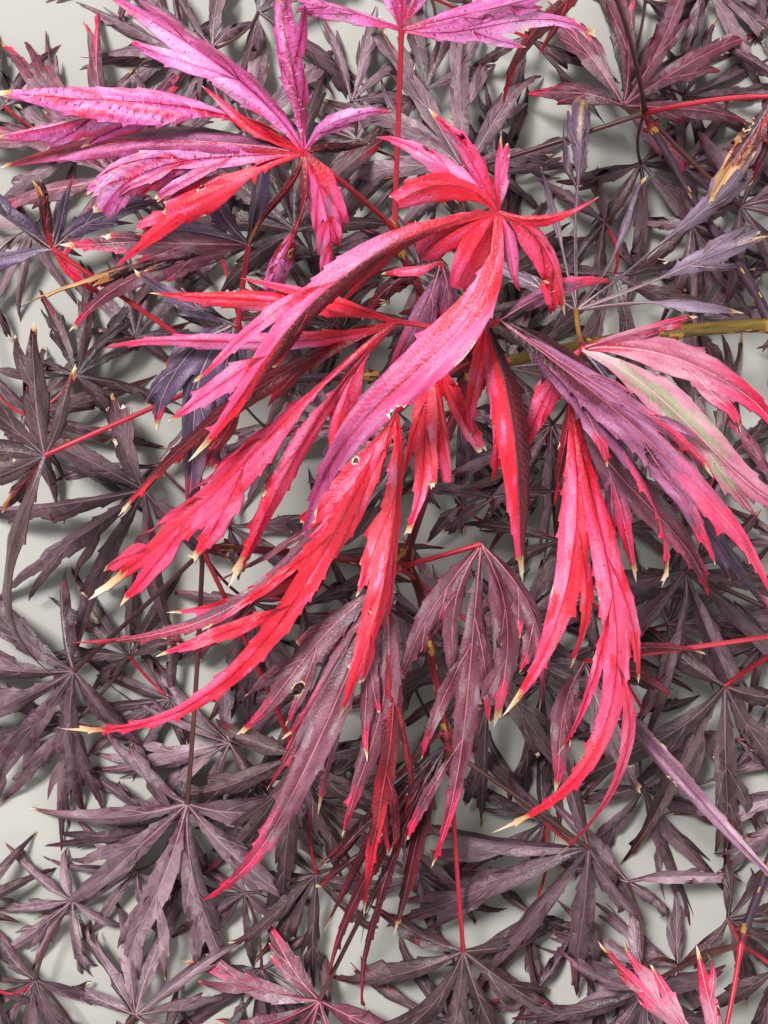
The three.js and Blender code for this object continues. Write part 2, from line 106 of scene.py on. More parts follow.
# Masses of leaves: stem is the course of the short twig inside the mass. A leaf is its hub, the
# twig's point that it springs from, its tint, and its blades as
# (heading in degrees, length, bow near the foot, bow near the tip, width, rise of the tip),
# with a tint of its own where a blade has one, or a pair of tints for its left and right halves,
# the darker half mostly a painted shade where the blade folds away from the light,
# and words for its form: stalked, long-stalked, tailed, plain, lobed or torn. Bows are sideways, to
# the left of the heading. spread lists plain leaves, (x, y, z, heading, length), that follow one rule.
MASSES = {
    "foliage_crown": {
        "stem": [(20.5, 36.2, 48.2), (21, 38, 58), (22, 42, 72)],
        "spread": [],
        "leaves": [
            ((25, 66, 100), 2, "hot_pink", [
                (145, 34, -2, -1, 6, -4), (128, 27, -2, -3, 5, 2), (89, 16, 0, 0, 3.5, 4),
                (177, 23, -7, -6, 7.5, 2, "scarlet", "torn"),
                (-139, 88, -18, -9, 8, -10, ("crimson", "hot_pink"), "lobed"),
                (-152, 20, -1, -1, 9, -4, "scarlet", "torn"),
                (-118, 83, 17, -19, 10.5, -10, "dipped", "plain"),
                (-120, 18, 0, 0, 8, -6, "scarlet", "torn"), (-76, 18, 1, 1, 5, -4),
                (-55, 28, 8, 2, 8, -4, "rose"), (7, 22, -4, -4, 2.5, 4, "scarlet")]),
            ((26, 43, 94), 2, "orchid", [
                (-43, 93, 2, 10, 9, -10), (-33, 62, 0, 0, 5.5, -6), (-42, 47, 5, 5, 6, -6, "wine"),
                (-54, 74, 8, 8, 7, -12), (20, 30, 3, 3, 5, -6)]),
            ((23, 44, 88), 2, "crimson", [
                (-82, 63, 7, 3, 8.5, -12, ("wine", "scarlet"), "plain"),
                (-98, 27, -1, 0, 5, -8, "scarlet", "plain"), (-88, 38, 4, 4, 6.5, -8, "rose", "plain")]),
            ((3, 44, 84), 2, "scarlet", [
                (174, 59, -3, -2, 6, 0, "bright_red", "plain"), (166, 38, -1, -1, 4, 3),
                (-176, 69, 6, -1, 5, -3, "hot_pink", "plain"),
                (-141, 100, -1, 13, 11, -18, "rose", "stalked lobed"),
                (-146, 84, -6, -6, 6, -16, "crimson"), (-114, 39, -5, -5, 7, -8, "rose", "stalked"),
                (-122, 75, -8, -4, 7, -14, "rose", "stalked")]),
            # The next two leaves lie under the crown; their lighter scarlet is painted light against its
            # shadow.
            ((11, 39, 78), 1, "bright_red", [
                (-96, 46, 3, 2, 6, -6), (-64, 28, -2, -1, 5, -3, "bright_red", "torn"),
                (-80, 33, 0, 0, 6, -4, "bright_red", "torn")]),
            ((3, 24, 70), 1, "bright_red", [
                (-102, 78, 4, 10, 10, -6, "bright_red", "lobed"), (-118, 51, 3, 4, 8, -3),
                (-136, 116, 17, 23, 6, -8, "scarlet"), (-141, 74, 15, 26, 7, -6),
                (-146, 98, 20, 24, 5, -10, "plum"), (-130, 36, 2, 2, 6, 0, "rose", "torn")]),
            ((13.5, 59.5, 74), 1, "orchid", [
                (-114, 36, 1, 0, 6, -6), (-84, 22, 1, 1, 5.5, -4), (-146, 24, -4, -3, 5, -8, "wine"),
                (-172, 15, 1, 1, 4, -2, "rose")])]},
    "foliage_upper": {
        "stem": [(3.8, 63.8, 65.6), (2.5, 68, 71)],
        "spread": [],
        "leaves": [
            ((-18, 81, 92), 1, "crinkled_pink", [
                (141, 58, -6, 0, 9, 2, ("lilac_pink", "stippled_pink")),
                (98, 35, 0, 0, 6, 4, "stippled_pink", "torn"), (25, 22, 4, 3, 4, 2, "lilac_pink"),
                (10, 15, 2, -2, 2.4, 0, "withered"),
                (168, 72, -5, 0, 10.5, 2, "crinkled_pink", "stalked"),
                (147, 27, 3, 2, 2.8, 4, "scarlet", "stalked plain"),
                (177, 77, -17, -2, 9.5, -4, "crinkled_pink", "stalked"),
                (-179, 74, -4, -3, 9.5, -11, ("magenta", "orchid")),
                (-167, 51, -2, -8, 7.5, -6, "crinkled_pink", "stalked torn"),
                (-174, 56, -1.5, -1.5, 6, -8, "magenta", "lobed"),
                (-151, 51, -2, -4, 5, -7, "bright_red", "stalked"),
                (-157, 35, 0, 0, 8.5, -2, "bright_red", "stalked torn"),
                (-81, 30, 5, 4, 9, -6, "hot_pink", "tailed lobed"),
                (-109, 31, 6, 4, 8, -8, "knotted", "long-stalked torn"),
                (-125, 24, 4, -3, 2.2, -10, "withered", "plain")]),
            ((4, 110, 88), 1, "lilac_pink", [
                (162, 28, 0, 0, 5, 0), (112, 30, 0, 0, 5, 2), (88, 34, 0, 0, 5, 3), (62, 30, 0, 0, 5, 2),
                (1, 46, -3, 4, 5, -4), (14, 40, -2, -1, 6, 3)])]},
    "foliage_right": {
        "stem": [(52, 43.4, 42.4), (50, 42, 53)],
        "spread": [],
        "leaves": [
            ((46, 38, 82), 1, "orchid", [
                (18, 28, 0, 0, 4.5, 2, "dusty"), (-22, 56, 9, 5, 9, -4, "dusty"),
                (-36, 70, 3, -4, 10, -8, "mossy"), (-52, 84, 3, -4, 8, -12, "dusk"),
                (-128, 66, 2, 2, 8.5, -12, "rose"), (-118, 30, -2, -3, 6, -8, "rose")]),
            ((44, 28, 76), 1, "rose", [
                (-95, 28, 0, 0, 3, -6, "crimson"), (-101, 80, 5, 17, 8, -8, ("bright_red", "rose")),
                (-99, 113, 10, 39, 8, -10), (-70, 50, 4, 4, 6, -8, "orchid"),
                (-53, 62, -5, 4, 9, -10, "plum")]),
            ((50.5, 53, 38), 1, "lilac_haze", [
                (88, 60, 0, 0, 7, -6, "lilac_haze", "long-stalked lobed torn"),
                (104, 40, 0, 0, 3, -2, "lilac_haze", "long-stalked"),
                (66, 42, -4, -3, 3, -2, "lilac_haze", "long-stalked"),
                (42, 72, -3, -1, 6, -8, "lilac_haze", "long-stalked lobed"),
                (21, 58, 0, 3, 6, -8, "lilac_haze", "long-stalked lobed"),
                (1, 49, 3, 2, 4.5, -8, "lilac_haze", "long-stalked"), (150, 30, 0, 0, 4, -6)])]},
    "foliage_left": {
        "stem": [(-30, 33, 52), (-38, 35, 53.5)],
        "spread": [(-66, 6, 20, 215, 62), (-24, 76, 27, 112, 56), (-74, 92, 20, 128, 60)],
        "leaves": [
            ((-35, 44, 79), 1, "dusk", [
                (-131, 32, -5, -4, 8, -6), (-109, 51, -11, 3, 9, -10), (-106, 31, 1, 1, 6, -8),
                (-84, 17, 0, 0, 4, -5), (150, 30, 2, 2, 5, -8)]),
            ((-33, 65, 66), 1, "dusk", [
                (-156, 50, -7, -6, 7, -6, "plum"), (170, 28, -1, -1, 5, 2),
                (-179, 47, -2, -2, 7, -3, "plum"), (-167, 61, -2, -2, 4.5, -8, "scorched"),
                (120, 36, 2, 2, 6, -6), (80, 30, 0, 0, 6, -8)]),
            ((-82, 65, 60), 1, "dusk", [
                (144, 30, 0, 0, 6, 0), (103, 17, 1, -2, 4, 4, "withered"), (70, 18, 0, 0, 3, 5),
                (23, 31, 4, 3, 5, 2), (-42, 19, -2, -1, 3, -4, "rose"), (-170, 34, 0, 0, 5, -6)]),
            ((-84, 14, 60), 1, "umber", [
                (95, 33, 0, 0, 7, 4), (70, 24, -1, -1, 3, 3), (138, 28, 0, 0, 5, 0),
                (171, 27, 0, 0, 6, -2), (-158, 28, 0, 0, 6, -4), (-130, 20, 2, -2, 5, -6, "withered"),
                (-91, 57, -6, -18, 7, -8)])]},
    "foliage_lower": {
        "stem": [(5.4, -12, 46), (4, -14, 52)],
        "spread": [(28, -34, 24, 270, 60)],
        "leaves": [
            ((0, -18, 58), 1, "plum", [
                (-132, 54, -2, -2, 7, -3), (-122, 47, 0, 0, 6, -1), (-119, 62, -2, -1, 6, -5),
                (-117, 96, 1, 6, 8, -8), (-106, 63, -3, -2, 6, -4), (-98, 45, -2, -1, 6, -2),
                (-101, 67, 8, 9, 7, -8), (-91, 71, 4, 4, 6, -10), (-95, 90, 8, 9, 5, -14, "crimson")]),
            ((24, -8, 60), 1, "plum", [
                (-93, 49, -9, -8, 5, -4), (-98, 85, 2, 4, 6, -8), (-95, 65, 2, 3, 5, -6),
                (-87, 47, 7, 8, 9, -3), (-72, 45, 9, 8, 6, -3), (-117, 44, -4, -4, 6, -6)])]},
    "foliage_tail": {
        "stem": [(16.3, -57, 40.2), (17, -62, 41)],
        "spread": [(56, -92, 22, 205, 64), (22, -122, 16, 262, 56), (-18, -136, 15, 232, 54)],
        "leaves": [
            ((16, -60, 46), 1, "wine", [
                (-113, 81, -4, -11, 3.5, -12), (-109, 77, -4, -3, 3.5, -10), (-121, 65, -6, -5, 4, -12),
                (-104, 56, -1, -1, 5, -12), (-134, 51, -3, -2, 4, -8)])]},
    "foliage_low_left": {
        "stem": [(-41, -9, 44), (-47, -10, 43)],
        "spread": [(-54, -80, 21, 250, 66), (-86, -44, 17, 205, 60), (-24, -66, 24, 265, 54)],
        "leaves": []},
    "foliage_low_right": {
        "stem": [(95.3, -110.3, 36), (94, -114, 37)],
        "spread": [(72, -132, 17, 262, 52), (108, -126, 19, 318, 54)],
        "leaves": [
            ((86, -141, 46), 1, "dusty", [
                (138, 42, -1, -1, 6, -4), (100, 30, 0, 0, 5, 0), (178, 44, 3, 3, 7, -10),
                (-135, 40, 2, 2, 7, -12), (-88, 36, 0, 0, 7, -14), (-40, 38, -2, -2, 7, -12),
                (10, 40, 0, 0, 7, -10)])]},
    "foliage_mid_right": {
        "stem": [(121.5, -30, 32), (114, -31, 36)],
        "spread": [(82, -16, 24, 292, 60), (94, -48, 19, 245, 60), (108, 8, 18, 20, 50)],
        "leaves": [
            ((51, -38, 50), 1, "dusk", [
                (-49, 86, -6, 2, 6, -8, "mauve", "plain"), (4, 32, 4, 4, 3, 0, "wine"),
                (-22, 24, 2, 2, 5, 0, "wine"), (-99, 37, -4, -3, 7, -6, "plum"),
                (-66, 41, -2, -2, 6, -8, "haze")])]},
    "foliage_upper_right": {
        "stem": [(72.4, 103.2, 28), (70, 107, 30)],
        "spread": [(66, 112, 19, 62, 56), (98, 84, 20, 10, 56), (22, 94, 20, 118, 54)],
        "leaves": [
            ((50, 129, 80), 1, "haze", [
                (-122, 38, 0, -10, 5, -8, "crimson"), (160, 44, 2, 2, 7, -6), (118, 46, 0, 0, 7, -4),
                (80, 46, 0, 0, 7, -6), (42, 44, 0, 0, 7, -8), (4, 38, 0, 0, 7, -10)]),
            ((97, 104, 56), 1, "umber", [
                (-119, 29, 3, -3, 6, -6, "scorched"), (-98, 22, 2, 2, 4, -6, "wine"),
                (-20, 30, 0, 0, 5, -8), (40, 36, 0, 0, 6, -6), (84, 34, 0, 0, 6, -6)])]},
}

# The plain leaf's rule: headings of its blades and their share of its length
SPREAD_HEADINGS = (0, 31, -31, 64, -64, 104, -104)
SPREAD_LENGTHS = (1, 0.93, 0.93, 0.76, 0.76, 0.5, 0.5)
SPREAD_WIDTH = 0.105
SPREAD_DROP = 0.3

BLADE_RISE = 0.06      # a blade arches up by this share of its length
DROOP = 1.4            # and its tip hangs this much lower than a fresh one's
GAP = 0.3              # what a new blade keeps from other masses and limbs
FARTHEST = 90          # discs further from a blade's middle than this can't touch it
LEAF_STALK = 1.5
TWIG_THICK = 2.2
FINE_TWIG = 1.0
TIP_SHIFTS = (0, -2, 2, -4, 4, -6, 6, -9, -12, 9)

# The lowest layer: finer twigs carry smaller leaves, one about every UNDER_STEP each way
UNDER_STEP = 26.0
UNDER_STRAY = 10.0                # how far each one strays from its even place
UNDER_MARGINS = (24, 16)          # and how far inside the branch's reach they start and stop
UNDER_HEIGHTS = (5.0, 13.0)
UNDER_LENGTHS = (28.0, 46.0)
UNDER_SEED = 41
# Places that stay open, (x, y, radius), and further hubs between the even ones
OPEN_PLACES = [(-96, -16, 34), (-118, -70, 30), (-110, 150, 34)]
INNER_HUBS = [(10, 66, 20), (24, 54, 22), (34, 40, 18), (46, 24, 20), (30, 4, 20), (48, -8, 18),
              (6, 20, 18), (64, 66, 16), (-14, 52, 18), (56, -24, 16)]

# Colours of one finish, from its darkest to its lightest
RAMP_STEPS = 16
MIXED_STOPS = 6      # colours that a ramp halfway between two others is given by
RAMPS = {
    "lilac_pink": ("#640E36", "#9A2258", "#C04488", "#D468AC", "#E38EC8", "#F0B6E0"),
    "magenta": ("#3A0A24", "#66183E", "#942E5C", "#B44A7C", "#CC70A0", "#E09CC4"),
    "hot_pink": ("#620A20", "#A41838", "#CE2C58", "#DE4A82", "#E86CA2", "#F194C2"),
    "rose": ("#580819", "#A0102C", "#D02048", "#E43C68", "#EE5E8A", "#F58CB2"),
    "scarlet": ("#4A0510", "#92081C", "#C6122A", "#E42038", "#F0344C", "#F75C70"),
    "crimson": ("#1E060C", "#3C0814", "#640E1C", "#8E1626", "#B42438", "#CC4A60"),
    "orchid": ("#280E1E", "#4C1E36", "#783A58", "#A35C82", "#C482AA", "#E0AACC"),
    "dusty_rose": ("#4E2030", "#8A3A50", "#B85E78", "#CE8098", "#DFA0B2", "#EEC4CE"),
    "mossy": ("#4A4A36", "#6E6E50", "#8E8C6C", "#A8A488", "#BCB8A0", "#D2CEBC"),
    "dusk": ("#15101A", "#2B2031", "#47354D", "#664F6C", "#8A7294", "#B09CBC"),
    "plum": ("#200810", "#401622", "#622C3A", "#7E4656", "#986474", "#B68892"),
    "mauve": ("#24101C", "#46263A", "#70465C", "#9A6C84", "#C296AC", "#E2BCCC"),
    "umber": ("#1A1012", "#302023", "#4A3436", "#654C4E", "#83696A", "#A08A88"),
    "wine": ("#160206", "#2C050D", "#480917", "#661022", "#861C34", "#A43A4E"),
    "shade": ("#1B1114", "#321F25", "#4D353D", "#694D56", "#886A73", "#A88C94"),
    "haze": ("#2E2026", "#4C373F", "#6C515B", "#8B6D78", "#AA8C96", "#C8AEB4"),
    "rib_rose": ("#8E3048", "#B85A70", "#D88C9C", "#EAB4BC"),
    "rib_mauve": ("#5A4048", "#80606A", "#A08088", "#BCA2A6"),
    "dried": ("#763A20", "#AE7040", "#D4A87A", "#E9CDA6", "#F2E4CE"),
    "stalk_red": ("#3E0610", "#7A0E1E", "#B01C30", "#D23A4C", "#E06A74"),
    "stalk_brown": ("#1E1012", "#3E2022", "#5E3632", "#805048"),
    "olive": ("#32240F", "#584318", "#7A6024", "#987C38", "#B8A068"),
    "ochre": ("#5A3414", "#8A5420", "#B47C38", "#D0A058", "#E4C48C"),
    # glint, a lilac grey: its patches on dusk blades are painted highlights; it is also the lilac_haze
    # leaf's own colour.
    "glint": ("#382A38", "#544052", "#725A70", "#927A90", "#B6A2B4"),
    "purple": ("#160C14", "#2E1826", "#472A3C", "#643F54", "#866478"),
    "ruby": ("#240610", "#4C0C18", "#761624", "#9A2A38", "#B85060"),
    "node": ("#5A3A1C", "#8A5E2C", "#B4843E", "#D0A45A", "#E2C284"),
    "cut_wood": ("#8A6438", "#B8925C", "#D6BA86", "#E8D6AE"),
}

# Each tint: its ramp, how light it is from foot to tip, the ramps of its foot and its outer end with
# the shares where they stop and start, its rib's and its underside's ramp and lightness, flecks for
# each 10 mm, crinkling, and for one tint a margin of another ramp
TINTS = {
    # Crease marks on crinkled tints are painted shade in the troughs and painted glints on the ridges.
    "crinkled_pink": dict(
        ramp="lilac_pink", levels=(0.4, 0.55, 0.64, 0.7, 0.7, 0.6), foot=("scarlet", 0.16),
        end=("lilac_pink", 1.0), rib=("scarlet", 0.25), under=("orchid", 0.55), flecks=8.0, crinkle=1.0,
        creases=3.6, patch=("rose", 0.16)),
    "lilac_pink": dict(
        ramp="lilac_pink", levels=(0.45, 0.58, 0.68, 0.72, 0.7, 0.6), foot=("rose", 0.1),
        end=("rose", 0.9), rib=("lilac_pink", 0.15), under=("orchid", 0.55), flecks=7.0, crinkle=0.45,
        creases=0.8, patch=("orchid", 0.35)),
    "hot_pink": dict(
        ramp="hot_pink", levels=(0.45, 0.62, 0.72, 0.76, 0.7, 0.55), foot=("scarlet", 0.2),
        end=("rose", 0.85), rib=("hot_pink", 0.3), under=("orchid", 0.5), flecks=3.0, crinkle=0.3,
        patch=("orchid", 0.4)),
    "rose": dict(
        ramp="rose", levels=(0.4, 0.58, 0.7, 0.72, 0.64, 0.55), foot=("scarlet", 0.16),
        end=("scarlet", 0.8), rib=("rose", 0.25), under=("orchid", 0.4), flecks=3.0, crinkle=0.5,
        creases=0.5, patch=("scarlet", 0.36)),
    "stippled_pink": dict(
        ramp="lilac_pink", levels=(0.4, 0.5, 0.56, 0.6, 0.64, 0.6), foot=("scarlet", 0.1),
        end=("lilac_pink", 1.0), rib=("scarlet", 0.2), under=("orchid", 0.55), flecks=14.0, crinkle=0.6,
        creases=3.2, patch=("magenta", 0.1)),
    "magenta": dict(
        ramp="magenta", levels=(0.4, 0.56, 0.66, 0.7, 0.66, 0.6), foot=("scarlet", 0.1),
        end=("rose", 0.9), rib=("rose", 0.2), under=("orchid", 0.4), flecks=2.0, crinkle=0.3,
        patch=("lilac_pink", 0.3)),
    "dipped": dict(
        ramp="hot_pink", levels=(0.45, 0.58, 0.62, 0.56, 0.5, 0.45), foot=("scarlet", 0.24),
        end=("magenta", 0.6), rib=("hot_pink", 0.2), under=("orchid", 0.5), flecks=2.0, crinkle=0.25,
        patch=("magenta", 0.4)),
    # A lighter copy of scarlet: painted light on the low crown blades in the shadow of those above, and a
    # brighter red elsewhere.
    "bright_red": dict(
        ramp="scarlet", levels=(0.6, 0.76, 0.86, 0.86, 0.78, 0.64), foot=("scarlet", 0.0),
        end=("rose", 0.86), rib=("scarlet", 0.45), under=("rose", 0.5), flecks=1.2, crinkle=0.3,
        patch=("rose", 0.42)),
    "scarlet": dict(
        ramp="scarlet", levels=(0.55, 0.7, 0.76, 0.74, 0.66, 0.52), foot=("scarlet", 0.0),
        end=("rose", 0.72), rib=("scarlet", 0.32), under=("rose", 0.5), flecks=1.5, crinkle=0.3,
        patch=("rose", 0.42)),
    "crimson": dict(
        ramp="crimson", levels=(0.7, 0.5, 0.42, 0.4, 0.5, 0.7), foot=("scarlet", 0.08),
        end=("scarlet", 0.8), rib=("crimson", 0.8), under=("crimson", 0.3), flecks=0.5, crinkle=0.3),
    "orchid": dict(
        ramp="orchid", levels=(0.25, 0.4, 0.56, 0.62, 0.56, 0.46), foot=("wine", 0.12),
        end=("rose", 0.62), rib=("rib_rose", 0.45), under=("plum", 0.4), flecks=1.0, crinkle=0.3),
    "mossy": dict(
        ramp="mossy", levels=(0.75, 0.62, 0.6, 0.5, 0.4, 0.3), foot=("dusty_rose", 0.1),
        end=("dusty_rose", 0.5), rib=("rib_rose", 0.9), under=("plum", 0.5), flecks=0.5, crinkle=0.3,
        margin=("dusty_rose", 0.45)),
    "dusty": dict(
        ramp="dusty_rose", levels=(0.4, 0.56, 0.66, 0.62, 0.5, 0.4), foot=("rose", 0.1),
        end=("rose", 0.6), rib=("rib_rose", 0.7), under=("plum", 0.5), flecks=0.8, crinkle=0.3),
    # Its glint patches are painted highlights on the dark blades.
    "dusk": dict(
        ramp="dusk", levels=(0.35, 0.5, 0.62, 0.66, 0.56, 0.46), foot=("wine", 0.08), end=("rose", 0.86),
        rib=("rib_mauve", 0.6), under=("dusk", 0.25), flecks=0.6, crinkle=0.4, patch=("glint", 0.36)),
    "scorched": dict(
        ramp="crimson", levels=(0.5, 0.45, 0.4, 0.4, 0.5, 0.6), foot=("wine", 0.2), end=("dried", 0.55),
        rib=("rib_mauve", 0.3), under=("wine", 0.25), flecks=0.5, crinkle=0.6),
    "lilac_haze": dict(
        ramp="glint", levels=(0.36, 0.5, 0.66, 0.72, 0.72, 0.62), foot=("haze", 0.36),
        end=("dried", 0.93), rib=("rib_mauve", 0.85), under=("haze", 0.25), flecks=0.0, crinkle=0.2,
        patch=("haze", 0.0)),
    "plum": dict(
        ramp="plum", levels=(0.4, 0.56, 0.66, 0.64, 0.58, 0.5), foot=("plum", 0.0), end=("rose", 0.8),
        rib=("rib_rose", 0.45), under=("plum", 0.35), flecks=0.6, crinkle=0.35, patch=("haze", 0.3)),
    "knotted": dict(
        ramp="crimson", levels=(0.6, 0.5, 0.45, 0.6, 0.66, 0.6), foot=("scarlet", 0.1),
        end=("lilac_pink", 0.66), rib=("crimson", 0.8), under=("orchid", 0.4), flecks=6.0, crinkle=1.1,
        creases=2.0),
    "mauve": dict(
        ramp="mauve", levels=(0.2, 0.34, 0.6, 0.8, 0.94, 1.0), foot=("wine", 0.1), end=("mauve", 1.0),
        rib=("mauve", 0.4), under=("plum", 0.3), flecks=0.4, crinkle=0.3),
    "umber": dict(
        ramp="umber", levels=(0.4, 0.5, 0.5, 0.5, 0.45, 0.3), foot=("umber", 0.0), end=("crimson", 0.86),
        rib=("rib_mauve", 0.3), under=("umber", 0.25), flecks=0.3, crinkle=0.3),
    "wine": dict(
        ramp="wine", levels=(0.3, 0.45, 0.5, 0.55, 0.6, 0.7), foot=("wine", 0.0), end=("crimson", 0.85),
        rib=("rib_mauve", 0.15), under=("wine", 0.2), flecks=0.0, crinkle=0.3),
    "withered": dict(
        ramp="wine", levels=(0.7, 0.5, 0.4, 0.3, 0.2, 0.3), foot=("scarlet", 0.12), end=("dried", 0.82),
        rib=("crimson", 0.5), under=("umber", 0.2), flecks=0.0, crinkle=1.2),
    "haze": dict(
        ramp="haze", levels=(0.4, 0.52, 0.6, 0.6, 0.55, 0.4), foot=("plum", 0.1), end=("plum", 0.82),
        rib=("rib_mauve", 0.7), under=("haze", 0.25), flecks=0.0, crinkle=0.2),
    "shade": dict(
        ramp="shade", levels=(0.4, 0.54, 0.6, 0.6, 0.54, 0.45), foot=("shade", 0.0), end=("plum", 0.8),
        rib=("rib_mauve", 0.3), under=("shade", 0.25), flecks=0.0, crinkle=0.2),
}
PARTS = ("patch", "margin", "foot", "end")
MELTS = (0.07, 0.08, 0.045, 0.045)      # how far each part's border melts
SPREAD_TINTS = ("shade", "haze", "shade", "umber", "plum")
UNDER_TINTS = ("shade", "haze", "umber", "shade", "umber", "haze")


def linear(hex_colour):
    """An sRGB hex colour as linear red, green, blue and alpha."""
    parts = [int(hex_colour[i:i + 2], 16) / 255 for i in (1, 3, 5)]
    return tuple(c / 12.92 if c <= 0.04045 else ((c + 0.055) / 1.055) ** 2.4 for c in parts) + (1.0,)


def ramp_colour(ramp, step):
    """The colour of one of a ramp's even steps."""
    stops = [np.array(linear(stop)) for stop in RAMPS[ramp]]
    place = step / (RAMP_STEPS - 1) * (len(stops) - 1)
    low = min(int(place), len(stops) - 2)
    return tuple(stops[low] + (stops[low + 1] - stops[low]) * (place - low))


def mixed(first, second):
    """The name of the ramp halfway between two."""
    return first if first == second else "_".join(sorted((first, second)))


def add_mixed_ramps():
    """Gives every border between two colours of a tint its ramp halfway."""
    for tint in TINTS.values():
        for other in sorted({tint[part][0] for part in PARTS if part in tint} - {tint["ramp"]}):
            pair = [np.array([[int(stop[i:i + 2], 16) for i in (1, 3, 5)] for stop in RAMPS[ramp]])
                    for ramp in (tint["ramp"], other)]
            stops = [sum(np.interp(t, np.linspace(0, 1, len(ramp)), ramp[:, k]) for ramp in pair) / 2
                     for t in np.linspace(0, 1, MIXED_STOPS) for k in range(3)]
            RAMPS[mixed(tint["ramp"], other)] = ["#%02X%02X%02X" % tuple(int(c) for c in stops[i:i + 3])
                                                 for i in range(0, 3 * MIXED_STOPS, 3)]


add_mixed_ramps()


def add_node(tree, kind, settings=None, values=None, links=None):
    """Adds a node, sets its properties and sockets, and links its inputs to other nodes' outputs."""
    node = tree.nodes.new(kind)
    for name, value in (settings or {}).items():
        setattr(node, name, value)
    for name, value in (values or {}).items():
        node.inputs[name].default_value = value
    for name, source in (links or {}).items():
        tree.links.new(source, node.inputs[name])
    return node


def new_material(name):
    """A material with an empty node tree."""
    material = bpy.data.materials.new(name)
    material.use_nodes = True
    material.node_tree.nodes.clear()
    return material


def finish_material(material, values, links):
    """Ends a material in one shader with these values and links."""
    tree = material.node_tree
    shader = add_node(tree, "ShaderNodeBsdfPrincipled", values=values, links=links)
    add_node(tree, "ShaderNodeOutputMaterial", links={"Surface": shader.outputs["BSDF"]})
    return material


def waxy_leaf(name, colour, crinkle):
    """Living maple leaf with its waxy skin, grown between fine side veins.

    The wax gives a soft gloss. It breaks up over the quilted skin, so blades show small pale glints.
    The UV map holds millimetres: along the blade, and away from its rib.
    """
    vein_spacing, vein_slant, vein_wander, skin_grain, skin_depth = 1.9, 1.3, 3.0, 0.625, 0.35
    material = new_material(name)
    tree = material.node_tree
    flat = add_node(tree, "ShaderNodeUVMap").outputs["UV"]
    parts = add_node(tree, "ShaderNodeSeparateXYZ", links={"Vector": flat})
    slant = add_node(tree, "ShaderNodeMath", {"operation": "MULTIPLY_ADD"}, {1: -vein_slant},
                     {0: parts.outputs["Y"], 2: parts.outputs["X"]})
    wobble = add_node(tree, "ShaderNodeTexNoise", values={"Scale": 0.45, "Detail": 1.0},
                      links={"Vector": flat})
    shaken = add_node(tree, "ShaderNodeMath", {"operation": "MULTIPLY_ADD"}, {1: vein_wander},
                      {0: wobble.outputs["Fac"], 2: slant.outputs[0]})
    turns = add_node(tree, "ShaderNodeMath", {"operation": "MULTIPLY"}, {1: 2 * math.pi / vein_spacing},
                     {0: shaken.outputs[0]})
    veins = add_node(tree, "ShaderNodeMath", {"operation": "SINE"}, links={0: turns.outputs[0]})
    skin = add_node(tree, "ShaderNodeTexNoise", values={"Scale": 1 / skin_grain, "Detail": 3.0},
                    links={"Vector": flat})
    height = add_node(tree, "ShaderNodeMath", {"operation": "MULTIPLY_ADD"}, {1: 0.02 + 0.16 * crinkle},
                      {0: veins.outputs[0], 2: skin.outputs["Fac"]})
    bump = add_node(tree, "ShaderNodeBump",
                    values={"Strength": 0.4 + 0.4 * crinkle, "Distance": skin_depth * MM},
                    links={"Height": height.outputs[0]})
    gloss = add_node(tree, "ShaderNodeMapRange",
                     values={"From Min": 0.35, "From Max": 0.65, "To Min": 0.3, "To Max": 0.52},
                     links={"Value": skin.outputs["Fac"]})
    return finish_material(material, {"Base Color": colour, "IOR": 1.45},
                           {"Normal": bump.outputs["Normal"], "Roughness": gloss.outputs["Result"]})


def fine_grained(name, grain, detail, strength, depth, values):
    """A plain finish over a fine grain, with the grain's width and depth in millimetres."""
    material = new_material(name)
    tree = material.node_tree
    place = add_node(tree, "ShaderNodeTexCoord").outputs["Object"]
    skin = add_node(tree, "ShaderNodeTexNoise", values={"Scale": 1 / (grain * MM), "Detail": detail},
                    links={"Vector": place})
    bump = add_node(tree, "ShaderNodeBump", values={"Strength": strength, "Distance": depth * MM},
                    links={"Height": skin.outputs["Fac"]})
    return finish_material(material, values, {"Normal": bump.outputs["Normal"]})


def dried_leaf(name, colour):
    """Leaf tip that has dried and curled: papery, matt and finely cockled."""
    return fine_grained(name, grain=0.8, detail=4.0, strength=0.6, depth=0.3,
                        values={"Base Color": colour, "Roughness": 0.75})


def smooth_stalk(name, colour):
    """Fresh leaf stalk: smooth and waxy, so it shows one long soft glint."""
    return fine_grained(name, grain=1.2, detail=2.0, strength=0.2, depth=0.15,
                        values={"Base Color": colour, "Roughness": 0.34, "IOR": 1.45})


def young_bark(name, colour):
    """Bark of a young maple shoot: thin, tight and finely grained along the shoot, with a dull sheen.

    The UV map holds millimetres: along the shoot, and round it.
    """
    material = new_material(name)
    tree = material.node_tree
    flat = add_node(tree, "ShaderNodeUVMap").outputs["UV"]
    drawn = add_node(tree, "ShaderNodeMapping", values={"Scale": (0.4, 2.2, 1.0)},
                     links={"Vector": flat})
    grain = add_node(tree, "ShaderNodeTexNoise", values={"Scale": 1.0, "Detail": 4.0},
                     links={"Vector": drawn.outputs["Vector"]})
    bump = add_node(tree, "ShaderNodeBump", values={"Strength": 0.5, "Distance": 0.25 * MM},
                    links={"Height": grain.outputs["Fac"]})
    gloss = add_node(tree, "ShaderNodeMapRange", values={"To Min": 0.42, "To Max": 0.7},
                     links={"Value": grain.outputs["Fac"]})
    return finish_material(material, {"Base Color": colour, "IOR": 1.45},
                           {"Normal": bump.outputs["Normal"], "Roughness": gloss.outputs["Result"]})


def cut_wood(name, colour):
    """Maple wood cut across with secateurs: pale, dry and a little crushed."""
    return fine_grained(name, grain=0.25, detail=3.0, strength=0.4, depth=0.1,
                        values={"Base Color": colour, "Roughness": 0.8})


